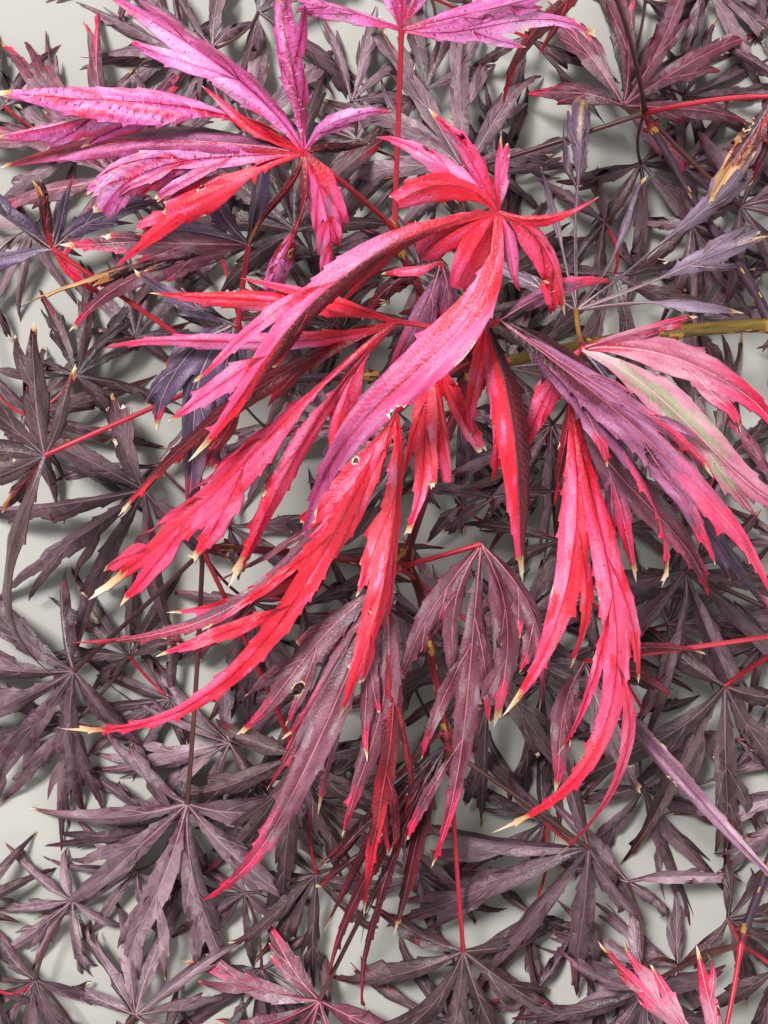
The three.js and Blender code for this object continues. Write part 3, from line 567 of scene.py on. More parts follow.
CRINKLED = {tint["ramp"]: 0.5 * tint["crinkle"] for tint in TINTS.values()}
FINISHES = {"dried": dried_leaf, "stalk_red": smooth_stalk, "stalk_brown": smooth_stalk,
            "ochre": smooth_stalk, "olive": young_bark, "purple": young_bark, "ruby": young_bark,
            "node": young_bark, "cut_wood": cut_wood}


def tone_material(ramp, step):
    """The material of one step of a ramp, made when it is first asked for."""
    finish = FINISHES.get(ramp, waxy_leaf)
    name = f"maple_{finish.__name__}_{ramp}_{step:02d}"
    found = bpy.data.materials.get(name)
    if found:
        return found
    extra = (CRINKLED.get(ramp, 0.3),) if finish is waxy_leaf else ()
    return finish(name, ramp_colour(ramp, step), *extra)


RAMP_NAMES = list(RAMPS)


def tone(ramp, level):
    """Tone numbers for a lightness from 0 to 1; works on one value or on many."""
    step = np.clip(np.round(np.asarray(level) * (RAMP_STEPS - 1)), 0, RAMP_STEPS - 1).astype(int)
    return RAMP_NAMES.index(ramp) * RAMP_STEPS + step


class Dice:
    """Seeded draws, the same on every run."""

    def __init__(self, *seeds):
        self.source = np.random.RandomState([abs(int(s)) for s in seeds])

    def between(self, low, high, size=None):
        """One draw, or as many as size asks for."""
        return low + (high - low) * self.source.random_sample(size)

    def chance(self, share):
        """True in this share of draws."""
        return self.source.random_sample() < share


def ripple(*place):
    """Smooth noise, from -1 to 1."""
    return noise.noise(Vector(place))


def unit(way):
    """A way, or each row of many, made 1 long."""
    return way / (np.linalg.norm(way) if way.ndim == 1 else np.linalg.norm(way, axis=1)[:, None])


def gone_along(points):
    """How far along a line each of its points lies."""
    return np.concatenate([[0], np.cumsum(np.linalg.norm(np.diff(points, axis=0), axis=1))])


def smooth(t):
    """Eases from 0 to 1."""
    t = np.clip(t, 0, 1)
    return t * t * (3 - 2 * t)


class Bezier:
    """A curve through 3-D space given by its control points, sampled at shares from 0 to 1."""

    def __init__(self, points):
        self.points = np.array(points, float)

    @staticmethod
    def blend(points, t):
        """Points at shares t, each between the control points by its own weights."""
        t = np.atleast_1d(np.asarray(t, float))
        degree = len(points) - 1
        return sum(math.comb(degree, i) * ((1 - t) ** (degree - i) * t ** i)[:, None] * p
                   for i, p in enumerate(points))

    def at(self, t):
        return self.blend(self.points, t)

    def tangent(self, t):
        return unit(self.blend(np.diff(self.points, axis=0), t))

    def length(self):
        return np.linalg.norm(np.diff(self.at(np.linspace(0, 1, 101)), axis=0), axis=1).sum()


class Course:
    """A smooth centripetal curve through a limb's points, sampled evenly along its length."""

    def __init__(self, points):
        points = np.array(points, float)
        ends = [2 * points[0] - points[1], *points, 2 * points[-1] - points[-2]]
        fine = [self.between(a, b, c, d, t) for a, b, c, d in zip(ends, ends[1:], ends[2:], ends[3:])
                for t in np.linspace(0, 1, 40, endpoint=False)]
        self.fine = np.array(fine + [points[-1]])
        self.gone = gone_along(self.fine)

    @staticmethod
    def between(a, b, c, d, t):
        """The point at share t from b to c, with a and d before and after them."""
        s0, s1, s2 = [np.linalg.norm(q - p) ** 0.5 for p, q in ((a, b), (b, c), (c, d))]
        m1 = ((b - a) / s0 - (c - a) / (s0 + s1) + (c - b) / s1) * s1
        m2 = ((c - b) / s1 - (d - b) / (s1 + s2) + (d - c) / s2) * s1
        return (b + m1 * t + (3 * (c - b) - 2 * m1 - m2) * t * t
                + (2 * (b - c) + m1 + m2) * t ** 3)

    def length(self):
        return self.gone[-1]

    def at(self, t):
        way = np.atleast_1d(t) * self.gone[-1]
        return np.stack([np.interp(way, self.gone, self.fine[:, k]) for k in range(3)], axis=1)


class Body:
    """Vertices and faces gathered for one mesh, each face with its tone number."""

    def __init__(self):
        self.places, self.faces, self.tones, self.flat = [], [], [], []
        self.count = 0

    def add(self, places, faces, tones, flat):
        """Adds closed geometry; flat holds the UV millimetres of each vertex."""
        self.places.append(np.asarray(places, float))
        self.flat.append(np.asarray(flat, float))
        self.faces += [tuple(i + self.count for i in face) for face in faces]
        self.tones += list(tones)
        self.count += len(places)

    def build(self, name, nodes):
        """Makes the mesh object, in metres in the record's frame, in place of these nodes."""
        mesh = bpy.data.meshes.new(name)
        mesh.from_pydata(((np.concatenate(self.places) + SHIFT) * MM).tolist(), [], self.faces)
        worn, slots = np.unique(self.tones, return_inverse=True)
        for number in worn:
            mesh.materials.append(tone_material(RAMP_NAMES[number // RAMP_STEPS],
                                                int(number % RAMP_STEPS)))
        mesh.polygons.foreach_set("material_index", slots.astype(np.int32))
        corners = np.empty(len(mesh.loops), np.int32)
        mesh.loops.foreach_get("vertex_index", corners)
        layer = mesh.uv_layers.new(name="millimetres")
        layer.uv.foreach_set("vector", np.concatenate(self.flat)[corners].astype(np.float32).ravel())
        mesh.shade_smooth()
        mesh.set_sharp_from_angle(angle=math.radians(SHARP_ANGLE))
        mesh.update()
        piece = bpy.data.objects.new(name, mesh)
        bpy.context.scene.collection.objects.link(piece)
        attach(piece, "root")
        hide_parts(*nodes)
        print(name, len(mesh.polygons), "faces,", len(worn), "tones")


# Where every blade goes

def solid_thickness(length):
    """The thickness of a blade's plain solid, which also sets how low the blade can lie."""
    return max(0.9, length / 85)


def blade_curve(hub, row, shift=0.0):
    """The centre line of a blade: bowed sideways, arching and then dropping."""
    heading, length, bow_foot, bow_tip, _, rise = row[:6]
    rise = rise + shift
    rise = rise * DROOP if rise < 0 else rise
    angle = math.radians(heading)
    ahead = np.array([math.cos(angle), math.sin(angle), 0.0])
    left = np.array([-ahead[1], ahead[0], 0.0])
    arch = length * BLADE_RISE

    def point(share, bow, lift):
        place = np.array(hub, float) + ahead * length * share + left * bow
        place[2] = max(hub[2] + lift, solid_thickness(length) / 2)
        return place

    return Bezier([hub, point(1 / 3, bow_foot, arch + rise * 0.1),
                   point(2 / 3, bow_tip, arch + rise * 0.5), point(1, 0, rise)])


def stalk_curve(start, hub):
    """A leaf stalk's course: it rises from its twig and then bends out to the hub."""
    start, hub = np.array(start, float), np.array(hub, float)
    bend = start + (hub - start) * 0.55
    bend[2] = start[2] + (hub[2] - start[2]) * 0.85
    return Bezier([start, bend, hub])


def spread_rows(heading, length):
    """The blades of a plain leaf."""
    rows = []
    for turn, share in zip(SPREAD_HEADINGS, SPREAD_LENGTHS):
        reach = length * share
        bow = -0.05 * reach * np.sign(turn)
        rows.append((heading + turn, reach, bow, bow, length * SPREAD_WIDTH, -reach * SPREAD_DROP))
    return rows


def discs_along(curve, wide, high):
    """A curve as small discs, (x, y, z, half width, half height), to keep others clear of it."""
    count = max(3, round(curve.length() / 2.5))
    t = np.arange(count + 1) / count
    places = curve.at(t)
    slope = np.abs(np.diff(places[:, 2])) / 2
    return np.column_stack([places[1:], np.broadcast_to(wide(t[1:]), count), high + slope])


class Taken:
    """What is already in place, by owner."""

    def __init__(self):
        self.discs = {}

    def put(self, owner, discs):
        self.discs.setdefault(owner, []).append(discs)

    def blocks(self, owner, discs):
        """Whether anything of another owner's is too near these discs."""
        for other, parts in self.discs.items():
            if other == owner:
                continue
            there = np.concatenate(parts)
            near = there[(np.abs(there[:, :2] - discs[:, :2].mean(0)) < FARTHEST).all(1)]
            apart = np.abs(discs[:, None, :] - near[None, :, :])
            room = discs[:, None, 3:] + near[None, :, 3:] + GAP
            flat = np.hypot(apart[..., 0], apart[..., 1]) < room[..., 0]
            if (flat & (apart[..., 2] < room[..., 1])).any():
                return True
        return False


def place_blade(taken, owner, leaf, row):
    """Lifts or lets down a blade's tip until the blade is clear, or leaves it out."""
    length, width = row[1], row[4]
    for shift in TIP_SHIFTS:
        curve = blade_curve(leaf["hub"], row, shift)
        discs = discs_along(curve, lambda t: np.maximum(1, width / 2 * np.sin(np.pi * np.sqrt(t))),
                            solid_thickness(length) / 2)
        if not taken.blocks(owner, discs):
            taken.put(owner, discs)
            # its own tint and words, or its leaf's tint and no words
            extras = (*row[6:], *(leaf["tint"], "")[len(row) - 6:])
            leaf["blades"].append((curve, (length, width, *extras)))
            return


def under_leaves():
    """Small leaves of the lowest layer, as (owner, leaf): each grows on from the nearest twig."""
    dice = Dice(UNDER_SEED)
    hubs = []
    starts, stops = REACH[0] + UNDER_MARGINS[0], REACH[1] - UNDER_MARGINS[1]
    for x in np.arange(starts[0], stops[0], UNDER_STEP):
        for y in np.arange(starts[1], stops[1], UNDER_STEP):
            hub = np.array([x + dice.between(-UNDER_STRAY, UNDER_STRAY),
                            y + dice.between(-UNDER_STRAY, UNDER_STRAY), dice.between(*UNDER_HEIGHTS)])
            if all(math.hypot(hub[0] - a, hub[1] - b) > r for a, b, r in OPEN_PLACES):
                hubs.append(hub)
    hubs += [np.array(hub, float) for hub in INNER_HUBS]
    twigs = [(name, np.array(mass["stem"][-1], float)) for name, mass in MASSES.items()]
    found = []
    while hubs:
        gaps = np.array([[math.dist(hub[:2], end[:2]) for _, end in twigs] for hub in hubs])
        number, parent = np.unravel_index(gaps.argmin(), gaps.shape)
        hub = hubs.pop(number)
        owner, start = twigs[parent]
        twigs.append((owner, hub - (0, 0, 1.5)))
        outward = math.degrees(math.atan2(*(hub - start)[1::-1])) + dice.between(-40, 40)
        rows = []
        for row in spread_rows(outward, dice.between(*UNDER_LENGTHS)):
            reach = row[1] * dice.between(0.85, 1.1)
            angle = math.radians(row[0])
            tip = hub[:2] + reach * np.array([math.cos(angle), math.sin(angle)])
            if (tip > REACH[0][:2]).all() and (tip < REACH[1][:2]).all():
                rows.append((row[0] + dice.between(-8, 8), reach, *row[2:]))
        bend = (start + hub) / 2 + (dice.between(-5, 5), dice.between(-5, 5), 2)
        found.append((owner, {"hub": tuple(hub), "stalk": Bezier([start, bend, hub]), "rows": rows,
                              "tint": UNDER_TINTS[int(dice.between(0, len(UNDER_TINTS)))],
                              "kind": "under"}))
    return found


@functools.lru_cache(maxsize=None)
def plan_leaves():
    """Every mass's leaves, as dictionaries of stalk, hub, tint and placed blades."""
    taken = Taken()
    for name, (foot, _), _, course in LIMBS:
        taken.put(name, discs_along(Course(course), lambda t, r=foot / 2: r, foot / 2))
    plans = {}
    for name, mass in MASSES.items():
        stem = mass["stem"]
        leaves = [{"hub": hub, "from": stem[at], "tint": tint, "rows": rows, "kind": "drawn"}
                  for hub, at, tint, rows in mass["leaves"]]
        for i, (x, y, z, heading, length) in enumerate(mass["spread"]):
            leaves.append({"hub": (x, y, z), "from": stem[-1], "rows": spread_rows(heading, length),
                           "tint": SPREAD_TINTS[(i + len(name)) % len(SPREAD_TINTS)],
                           "kind": "spread"})
        for leaf in leaves:
            leaf["stalk"] = stalk_curve(leaf["from"], leaf["hub"])
            taken.put(name, discs_along(leaf["stalk"], lambda t: LEAF_STALK / 2, LEAF_STALK / 2))
        plans[name] = leaves
    for owner, leaf in under_leaves():
        plans[owner].append(leaf)
    for layer in (("drawn", "spread"), ("under",)):
        for name, leaves in plans.items():
            for leaf in leaves:
                if leaf["kind"] in layer:
                    leaf["blades"] = []
                    for row in leaf["rows"]:
                        place_blade(taken, name, leaf, row)
    return plans


# One blade, drawn flat and then laid along its curve

def half_width(u, width, foot=0.0, tail=0.0):
    """Half the blade's width at share u: a narrow foot, widest before the middle, a long tip."""
    grown = np.clip((u - foot) / (1 - foot - tail), 0, 1)
    point = 1 - 0.45 * smooth((grown - 0.6) / 0.4)
    drawn = width / 2 * (0.09 + 0.91 * smooth(grown / 0.42)) * (1 - grown) ** 0.6 * point * 1.34
    return np.maximum(drawn, 0.45 * np.clip(1 - u, 0, 1) ** 0.4)


class Strip:
    """A blade's own strip or one of its lobes: a middle line with its length and widths.

    foot and tail are the shares that stay as narrow as a stalk. A torn strip stops short, still broad.
    """

    def __init__(self, axis, length, width, foot=0.0, tail=0.0, torn=False):
        self.axis, self.length, self.width = axis, length, width
        self.foot, self.tail, self.torn = foot, tail, torn

    def half(self, s):
        """Half the strip's width at a distance along it."""
        share = np.asarray(s) / self.length
        return half_width(share * (0.74 if self.torn else 1), self.width, self.foot, self.tail)

    def margin(self, dice, tooth_size, pitches):
        """One edge from foot to tip, as (distance along, distance out), with forward teeth."""
        edge = [(0.0, self.half(0))]
        s = self.length * max(0.1, self.foot)
        while s < self.length * 0.94:
            pitch = dice.between(*pitches)
            tooth = dice.between(0.3, 1.0) * tooth_size * min(1, self.width / 6)
            if dice.chance(0.14):
                tooth *= 1.8
            out, middle, ahead = [self.half(s + pitch * k) for k in (0, 0.45, 0.9)]
            edge.append((s, out))
            if dice.chance(0.6):
                edge += [(s + pitch * 0.45, middle + tooth * 0.25), (s + pitch * 0.86, ahead + tooth),
                         (s + pitch * 0.88, ahead + tooth * 0.15)]
            else:
                edge.append((s + pitch * 0.5, middle + tooth * 0.1))
            s += pitch
        last = self.length * 0.98
        return [point for point in edge if point[0] < last] + [(last, self.half(last))]

    def beside(self, edge, side):
        """Lays an edge's points beside the middle line."""
        gone, way = gone_along(self.axis), unit(np.gradient(self.axis, axis=0))
        s, out = np.array(edge).T
        middle, t = [np.stack([np.interp(s, gone, part[:, k]) for k in (0, 1)], axis=1)
                     for part in (self.axis, way)]
        return list(middle + side * out[:, None] * np.column_stack([-t[:, 1], t[:, 0]]))

    def outline(self, dice, tooth_size, pitches):
        """The strip's whole edge, with its tip or its torn end."""
        left, right = [self.beside(self.margin(dice, tooth_size, pitches), side) for side in (1, -1)]
        if not self.torn:
            return right + [self.axis[-1]] + left[::-1]
        way = unit(self.axis[-1] - self.axis[-2])
        jags = [right[-1] + (left[-1] - right[-1]) * k + way * dice.between(-0.5, 1.3)
                for k in (0.15, 0.3, 0.48, 0.66, 0.84)]
        return right + jags + left[::-1]

    def rib_lines(self, half):
        """Two lines beside the middle line: the rib's colour lies between them."""
        s = np.linspace(0.3, self.length * 0.9, max(4, int(self.length / 4)))
        edge = [(a, half * min(1, self.width / 6) * (1 - 0.7 * a / self.length) + 0.03) for a in s]
        return [self.beside(edge, 1), self.beside(edge, -1)]


def lobe_axis(start, turn, length, steps=7):
    """A side lobe's middle line, leaving the rib and bending forward beside the blade."""
    points = [np.array(start, float)]
    for i in range(steps):
        angle = turn * (1 - 0.6 * i / (steps - 1))
        points.append(points[-1] + length / steps * np.array([math.cos(angle), math.sin(angle)]))
    return np.array(points)


def blade_strips(length, width, foot, tail, torn, lobes, dice):
    """The blade's own strip and its lobes' strips."""
    sway = dice.between(-0.02, 0.02, 2) * length
    x = np.linspace(0, 1, 9)
    axis = np.column_stack([x * length, sway[0] * np.sin(np.pi * x) + sway[1] * np.sin(2 * np.pi * x)])
    strips = [Strip(axis, length, width, foot, tail, torn)]
    if length < 16 or width < 3.2:
        return strips
    for side in (1, -1):
        place = foot + (1 - foot) * dice.between(0.2, 0.42)
        for _ in range(int(dice.between(lobes[0], lobes[1] + 1))):
            reach = length * min(dice.between(0.18, 0.46), 0.97 - place)
            turn = side * math.radians(dice.between(16, 30))
            start = (place * length, np.interp(place * length, axis[:, 0], axis[:, 1]))
            wide = width * dice.between(0.38, 0.66)
            strips.append(Strip(lobe_axis(start, turn, reach), reach, wide, torn=dice.chance(0.1)))
            place += dice.between(0.16, 0.3)
            if place > 0.8:
                break
    return strips


def triangulate(outlines, lines, loops, inner):
    """Triangles of everything inside the outlines, with the lines' and loops' edges kept."""
    points, edges, faces = [], [], []
    for outline in outlines:
        faces.append(list(range(len(points), len(points) + len(outline))))
        points += outline
    for line in lines:
        edges += [(len(points) + i, len(points) + i + 1) for i in range(len(line) - 1)]
        points += line
    for loop in loops:
        edges += [(len(points) + i, len(points) + (i + 1) % len(loop)) for i in range(len(loop))]
        points += list(loop)
    points += list(inner)
    made = delaunay_2d_cdt([Vector(p) for p in points], edges, faces, 0, 1e-4, True)
    flat = np.array([tuple(v) for v in made[0]])
    inside = np.array([face for face, within in zip(made[2], made[5]) if within])
    a, b, c = flat[inside[:, 0]], flat[inside[:, 1]], flat[inside[:, 2]]
    area = (b - a)[:, 0] * (c - a)[:, 1] - (b - a)[:, 1] * (c - a)[:, 0]
    inside[area < 0] = inside[area < 0][:, ::-1]
    return flat, inside[np.abs(area) > 1e-5]


BITE_SIDES = 11


class Bite:
    """A ragged bite out of a blade's edge, or a small hole in it."""

    def __init__(self, strip, dice):
        s = dice.between(0.3, 0.7) * strip.length
        hole = dice.chance(0.2)
        side = 1 if dice.chance(0.5) else -1
        self.middle = np.array([s, side * strip.half(s) * (0.5 if hole else 1.05)])
        ragged = dice.between(0.7, 1.3, BITE_SIDES)
        size = dice.between(0.35, 0.6) if hole else dice.between(0.1, 0.24) * strip.width
        self.radii = ragged * size
        turn = np.arange(BITE_SIDES) * 2 * np.pi / BITE_SIDES
        round_it = np.column_stack([1.5 * np.cos(turn), np.sin(turn)])
        self.loop = self.middle + self.radii[:, None] * round_it

    def beyond(self, places):
        """How far outside the bite each place is, as a share of the bite's radius there."""
        apart = (places - self.middle) / (1.5, 1)
        angle = np.arctan2(apart[:, 1], apart[:, 0]) % (2 * np.pi)
        turn = np.arange(BITE_SIDES + 1) * 2 * np.pi / BITE_SIDES
        radii = np.interp(angle, turn, [*self.radii, self.radii[0]])
        return np.linalg.norm(apart, axis=1) / radii - 1


def specks_and_creases(strip, look, dice):
    """Marks on a blade, as rows of (x, y, half length, half width, slant, tone): specks, and crease marks
    that are painted shade and painted glints.
    """
    rows = []
    for _ in range(int(look["flecks"] * strip.length / 10)):
        s = dice.between(max(0.08, strip.foot), 0.9) * strip.length
        out = strip.half(s) * dice.between(-0.85, 0.85)
        size = dice.between(0.07, 0.2)
        rows.append((s, out, size * 1.4, size, dice.between(1.2, 2.0),
                     tone(look["ramp"], dice.between(0, 0.25))))
    # Crease marks: most are dark, a painted shade in the crinkles' troughs along with dark stipple; the
    # rest are pale, painted glints on their ridges.
    s = strip.length * max(0.12, strip.foot)
    while look.get("creases") and s < strip.length * 0.86:
        s += dice.between(0.5, 1.3) / look["creases"]
        side = 1 if dice.chance(0.5) else -1
        out = side * strip.half(s) * dice.between(0.14, 0.78)
        level = dice.between(0.05, 0.35) if dice.chance(0.72) else dice.between(0.8, 0.95)
        rows.append((s, out, dice.between(0.25, 0.75), dice.between(0.07, 0.13),
                     side * dice.between(1.0, 1.6), tone(look["ramp"], level)))
    return np.array(rows, float).reshape(-1, 6)


def mark_loop(row):
    """A mark's outline: a slim diamond, or a six-sided speck."""
    x, y, long, short, slant, _ = row
    sides = 6 if long < 2 * short else 4
    turn = np.arange(sides) * 2 * np.pi / sides
    u, v = long * np.cos(turn), short * np.sin(turn)
    return np.column_stack([x + u * math.cos(slant) - v * math.sin(slant),
                            y + u * math.sin(slant) + v * math.cos(slant)])


def on_strips(places, strips):
    """For each place: how near its strip's edge it is, its share along, and its way off the rib."""
    best = np.full(len(places), np.inf)
    share_of, off_of, gone_of = np.zeros((3, len(places)))
    rows = np.arange(len(places))
    for strip in strips:
        a, way = strip.axis[:-1], np.diff(strip.axis, axis=0)
        size, gone = np.linalg.norm(way, axis=1), gone_along(strip.axis)
        held = np.clip(((places[:, None] - a) * way).sum(2) / size ** 2, 0, 1)
        gap = np.linalg.norm(places[:, None] - (a + held[..., None] * way), axis=2)
        nearest = gap.argmin(1)
        distance = gap[rows, nearest]
        along = gone[nearest] + held[rows, nearest] * size[nearest]
        scaled = distance / (strip.half(along) + 0.25)
        closer = scaled < best
        best[closer], off_of[closer] = scaled[closer], distance[closer]
        share_of[closer], gone_of[closer] = (along / strip.length)[closer], along[closer]
    return best, share_of, off_of, gone_of


def lay_blade(flat, share, curve, length, width, bend):
    """Flat points laid along the blade's curve, and the way out of the blade at each."""
    x, w = flat[:, 0], -flat[:, 1]
    w = w + bend["hook"] * np.clip((x / length - 0.72) / 0.28, 0, 1.2) ** 2
    s = np.clip(x / length, 0, 1)
    middle, way = curve.at(s), curve.tangent(s)
    right = unit(np.column_stack([way[:, 1], -way[:, 0], np.zeros(len(way))]))
    up = np.cross(right, way)
    roll = bend["roll"] * np.minimum(1, s * 4) + bend["twist"] * s
    right, up = (right * np.cos(roll)[:, None] + up * np.sin(roll)[:, None],
                 up * np.cos(roll)[:, None] - right * np.sin(roll)[:, None])
    far = np.abs(w)
    fold = np.where(w > 0, bend["fold_right"], bend["fold_left"]) * np.minimum(1, s * 5)
    fold = fold - bend["curl"] * far / width
    lift = far * np.sin(fold)
    lift += bend["wave"] * np.sin(2 * np.pi * x / bend["wave_step"] + np.sign(w) * 1.3) \
        * np.clip(far / width * 2, 0, 1.4) ** 2
    phase = 2 * np.pi * (x - 0.7 * far) / bend["crinkle_step"]
    buckle = np.sin(phase + 2.2 * np.sin(x / 3.1) + np.sin(w / 1.3))
    lift += bend["crinkle"] * buckle * np.clip(far, 0, 1)
    lift -= bend["tip_curl"] * np.clip(share - 0.7, 0, 1) ** 2 * 11
    across = np.sign(w) * far * np.cos(fold)
    beyond = x - s * length
    return middle + way * beyond[:, None] + right * across[:, None] + up * lift[:, None], up


def half_tones(look, on, mottle_and_half_shade, streak, patches, draw):
    """Tones for one tint: cloudy lengthwise and with a painted shade on one half, with its foot, outer
    end, patches, margin and rib.
    """
    best, share, off, _ = on
    level = np.interp(share, np.linspace(0, 1, len(look["levels"])), look["levels"]) + mottle_and_half_shade
    level += 0.16 * (draw[0] - 0.5) - 0.16 * np.exp(-((off - 0.15) / 0.45) ** 2)
    level -= 0.12 * np.clip(best - 0.75, 0, 0.3) / 0.3
    tones = tone(look["ramp"], level)
    fields = {"patch": patches, "margin": best + mottle_and_half_shade, "foot": -share - streak, "end": share + streak}
    for part, melt in zip(PARTS, MELTS):
        if look.get(part, (None, 0))[1]:
            ramp, limit = look[part]
            depth = fields[part] - (-limit if part == "foot" else limit)
            for name, least in ((mixed(look["ramp"], ramp), -melt), (ramp, melt)):
                tones[depth > least] = tone(name, level)[depth > least]
    on_rib = (off < RIB_HALF * (1 - 0.7 * share) + 0.03) & (share < 0.9)
    tones[on_rib] = tone(look["rib"][0], look["rib"][1] + mottle_and_half_shade + 0.16 * (draw[1] - 0.5))[on_rib]
    return tones


def blade_tones(tint, centres, on, strip, dice, kind, marks):
    """A tone for each triangle, with marks, dry edges and a dry tip. A pair of tints are its halves, the
    darker mostly a painted shade where the blade folds away from the light.
    """
    best, share, _, _ = on
    left_half = centres[:, 1] > np.interp(centres[:, 0], strip.axis[:, 0], strip.axis[:, 1])
    seed, draw = dice.between(0, 900), dice.between(0, 1, 6)
    streak, fine, patches = np.array([
        (ripple(x / 15 + seed, y / 1.7, 0.3), ripple(x / 4 + seed, y / 0.8, 7.3),
         ripple(x / 9 + seed, y / 2.0, 4.1) + 0.3 * ripple(x / 3, y / 0.9, seed))
        for x, y in centres]).T
    # Last term: one half lighter, the other darker by a random share, a painted shade of the blade's fold
    # along its rib.
    mottle_and_half_shade = 0.3 * streak + 0.13 * fine + np.where(left_half, 0.2, -0.2) * (draw[2] - 0.5)
    left, right = tint if isinstance(tint, tuple) else (tint, tint)
    tones = np.where(left_half, half_tones(TINTS[left], on, mottle_and_half_shade, 0.26 * streak, patches, draw),
                     half_tones(TINTS[right], on, mottle_and_half_shade, 0.26 * streak, patches, draw))
    if len(marks):
        u, v = (centres[:, None] - marks[None, :, :2]).transpose(2, 0, 1)
        sine, cosine = np.sin(marks[:, 4]), np.cos(marks[:, 4])
        gap = ((u * cosine + v * sine) / marks[:, 2]) ** 2 + ((v * cosine - u * sine) / marks[:, 3]) ** 2
        inside = gap.min(1) < 1
        tones[inside] = marks[gap.argmin(1), 5].astype(int)[inside]
    # most tips are dry for a short way
    reach = 0.1 * draw[3] if kind != "drawn" else 0.02 + (0.02 if strip.torn else 0.1) * draw[3]
    if draw[4] < 0.8:
        deep = (share + mottle_and_half_shade * 0.06 - 1 + reach) / (reach + 0.01)
        dry = deep > 0
        tones[dry] = tone("dried", 0.25 + deep * 1.1)[dry]
    # and so is the very edge, here and there
    edge = (best > 0.88) & (share > 0.25) & (mottle_and_half_shade > 0.22)
    tones[edge] = tone("dried", 0.5 + mottle_and_half_shade)[edge]
    return tones


def outer_edges(faces):
    """Edges that only one triangle has, each in that triangle's own direction."""
    edges = np.concatenate([faces[:, [0, 1]], faces[:, [1, 2]], faces[:, [2, 0]]])
    _, where, counts = np.unique(np.sort(edges, axis=1), axis=0, return_index=True, return_counts=True)
    return edges[where[counts == 1]]


STEPS = {"drawn": 0.78, "spread": 1.9, "under": 3.4}      # between inner points, by kind
TOOTH_SIZES = {"drawn": 1.0, "spread": 0.8, "under": 0.8}
TOOTH_PITCHES = {"drawn": (2.6, 7.5), "spread": (4.0, 9.0), "under": (5.0, 10.0)}
LOBES = {"drawn": (0, 2), "spread": (1, 2), "under": (1, 2)}      # on each side of a blade
RIB_HALF = 0.17
LOBE_RIB_HALF = 0.1


def draw_bend(dice, length, crinkle, fold):
    """How one blade rolls, folds, waves and curls, in radians, or in millimetres at its edge."""
    return {
        "roll": dice.between(-0.35, 0.35), "twist": dice.between(-0.5, 0.5),
        "fold_right": dice.between(-1.4, 0.5) * fold, "fold_left": dice.between(-1.4, 0.5) * fold,
        "curl": dice.between(0.1, 0.5), "wave": dice.between(0.15, 0.5),
        "wave_step": dice.between(10, 20), "hook": dice.between(-0.05, 0.05) * length,
        "crinkle": 0.2 * crinkle ** 2, "crinkle_step": dice.between(2.2, 3.4),
        "tip_curl": dice.between(0.2, 3.2),
    }


def add_blade(body, curve, blade, dice, kind, settings):
    """One toothed, lobed blade: a thin closed solid with its own tones."""
    length, width, tint, form = blade
    first = TINTS[tint[0] if isinstance(tint, tuple) else tint]
    foot = 0.4 if "long-stalked" in form else 0.22 if "stalked" in form else 0.0
    tail = 0.42 if "tailed" in form else 0.0
    lobes = (0, 0) if "plain" in form else (2, 3) if "lobed" in form else LOBES[kind]
    strips = blade_strips(length, width, foot, tail, "torn" in form, lobes, dice)
    outlines = [strip.outline(dice, TOOTH_SIZES[kind], TOOTH_PITCHES[kind]) for strip in strips]
    lo, hi = [pick([pick(o, axis=0) for o in outlines], axis=0) for pick in (np.min, np.max)]
    step = STEPS[kind]
    grid = np.stack(np.meshgrid(*[np.arange(lo[k], hi[k], step) for k in (0, 1)]), -1).reshape(-1, 2)
    grid = grid + dice.between(-0.25, 0.25, grid.shape) * step
    marks = specks_and_creases(strips[0], first, dice) if kind == "drawn" else np.zeros((0, 6))
    loops = [mark_loop(row) for row in marks]
    bitten = kind == "drawn" and width > 5 and length > 24 and dice.chance(0.35)
    bite = Bite(strips[0], dice) if bitten else None
    if bite:
        loops.append(bite.loop)
    ribs = [line for n, strip in enumerate(strips)
            for line in strip.rib_lines(LOBE_RIB_HALF if n else RIB_HALF)]
    flat, faces = triangulate(outlines, ribs, loops, grid)
    if bite:
        faces = faces[bite.beyond(flat[faces].mean(1)) > 0]
    _, share, off, gone = on_strips(flat, strips)
    bend = draw_bend(dice, length, first["crinkle"], settings.fold)
    places, up = lay_blade(flat, share, curve, length, width, bend)
    thick = settings.thickness / MM
    places[:, 2] = np.maximum(places[:, 2], FLOOR + thick / 2 + 0.1)
    centres = flat[faces].mean(1)
    tones = blade_tones(tint, centres, on_strips(centres, strips), strips[0], dice, kind, marks)
    if bite:
        rim = (bite.beyond(centres) * bite.radii.mean() < 0.3) & (dice.between(0, 1, len(centres)) < 0.8)
        tones[rim] = tone("dried", dice.between(0.5, 0.9))
    dried = tones // RAMP_STEPS == RAMP_NAMES.index("dried")
    below = tone(first["under"][0], first["under"][1] + dice.between(-0.08, 0.08))
    edges = outer_edges(faces)
    sides = np.column_stack([edges[:, 1], edges[:, 0], edges[:, 0] + len(flat), edges[:, 1] + len(flat)])
    uv = np.column_stack([gone, off])
    # its upper side, its underside and its edge
    body.add(np.concatenate([places + up * thick / 2, places - up * thick / 2]),
             [*faces.tolist(), *(faces[:, ::-1] + len(flat)).tolist(), *sides.tolist()],
             [*tones, *np.where(dried, tones, below), *np.full(len(sides), below)],
             np.concatenate([uv, uv]))


# Stalks, twigs and limbs

def ring_frames(places):
    """Two directions across the course at each place, turning as little as they can."""
    way = unit(np.gradient(places, axis=0))
    across = [unit(np.cross(way[0], (0.2, 0.3, 1.0)))]
    for t in way[1:]:
        across.append(unit(across[-1] - t * (across[-1] @ t)))
    across = np.array(across)
    return across, np.cross(way, across)


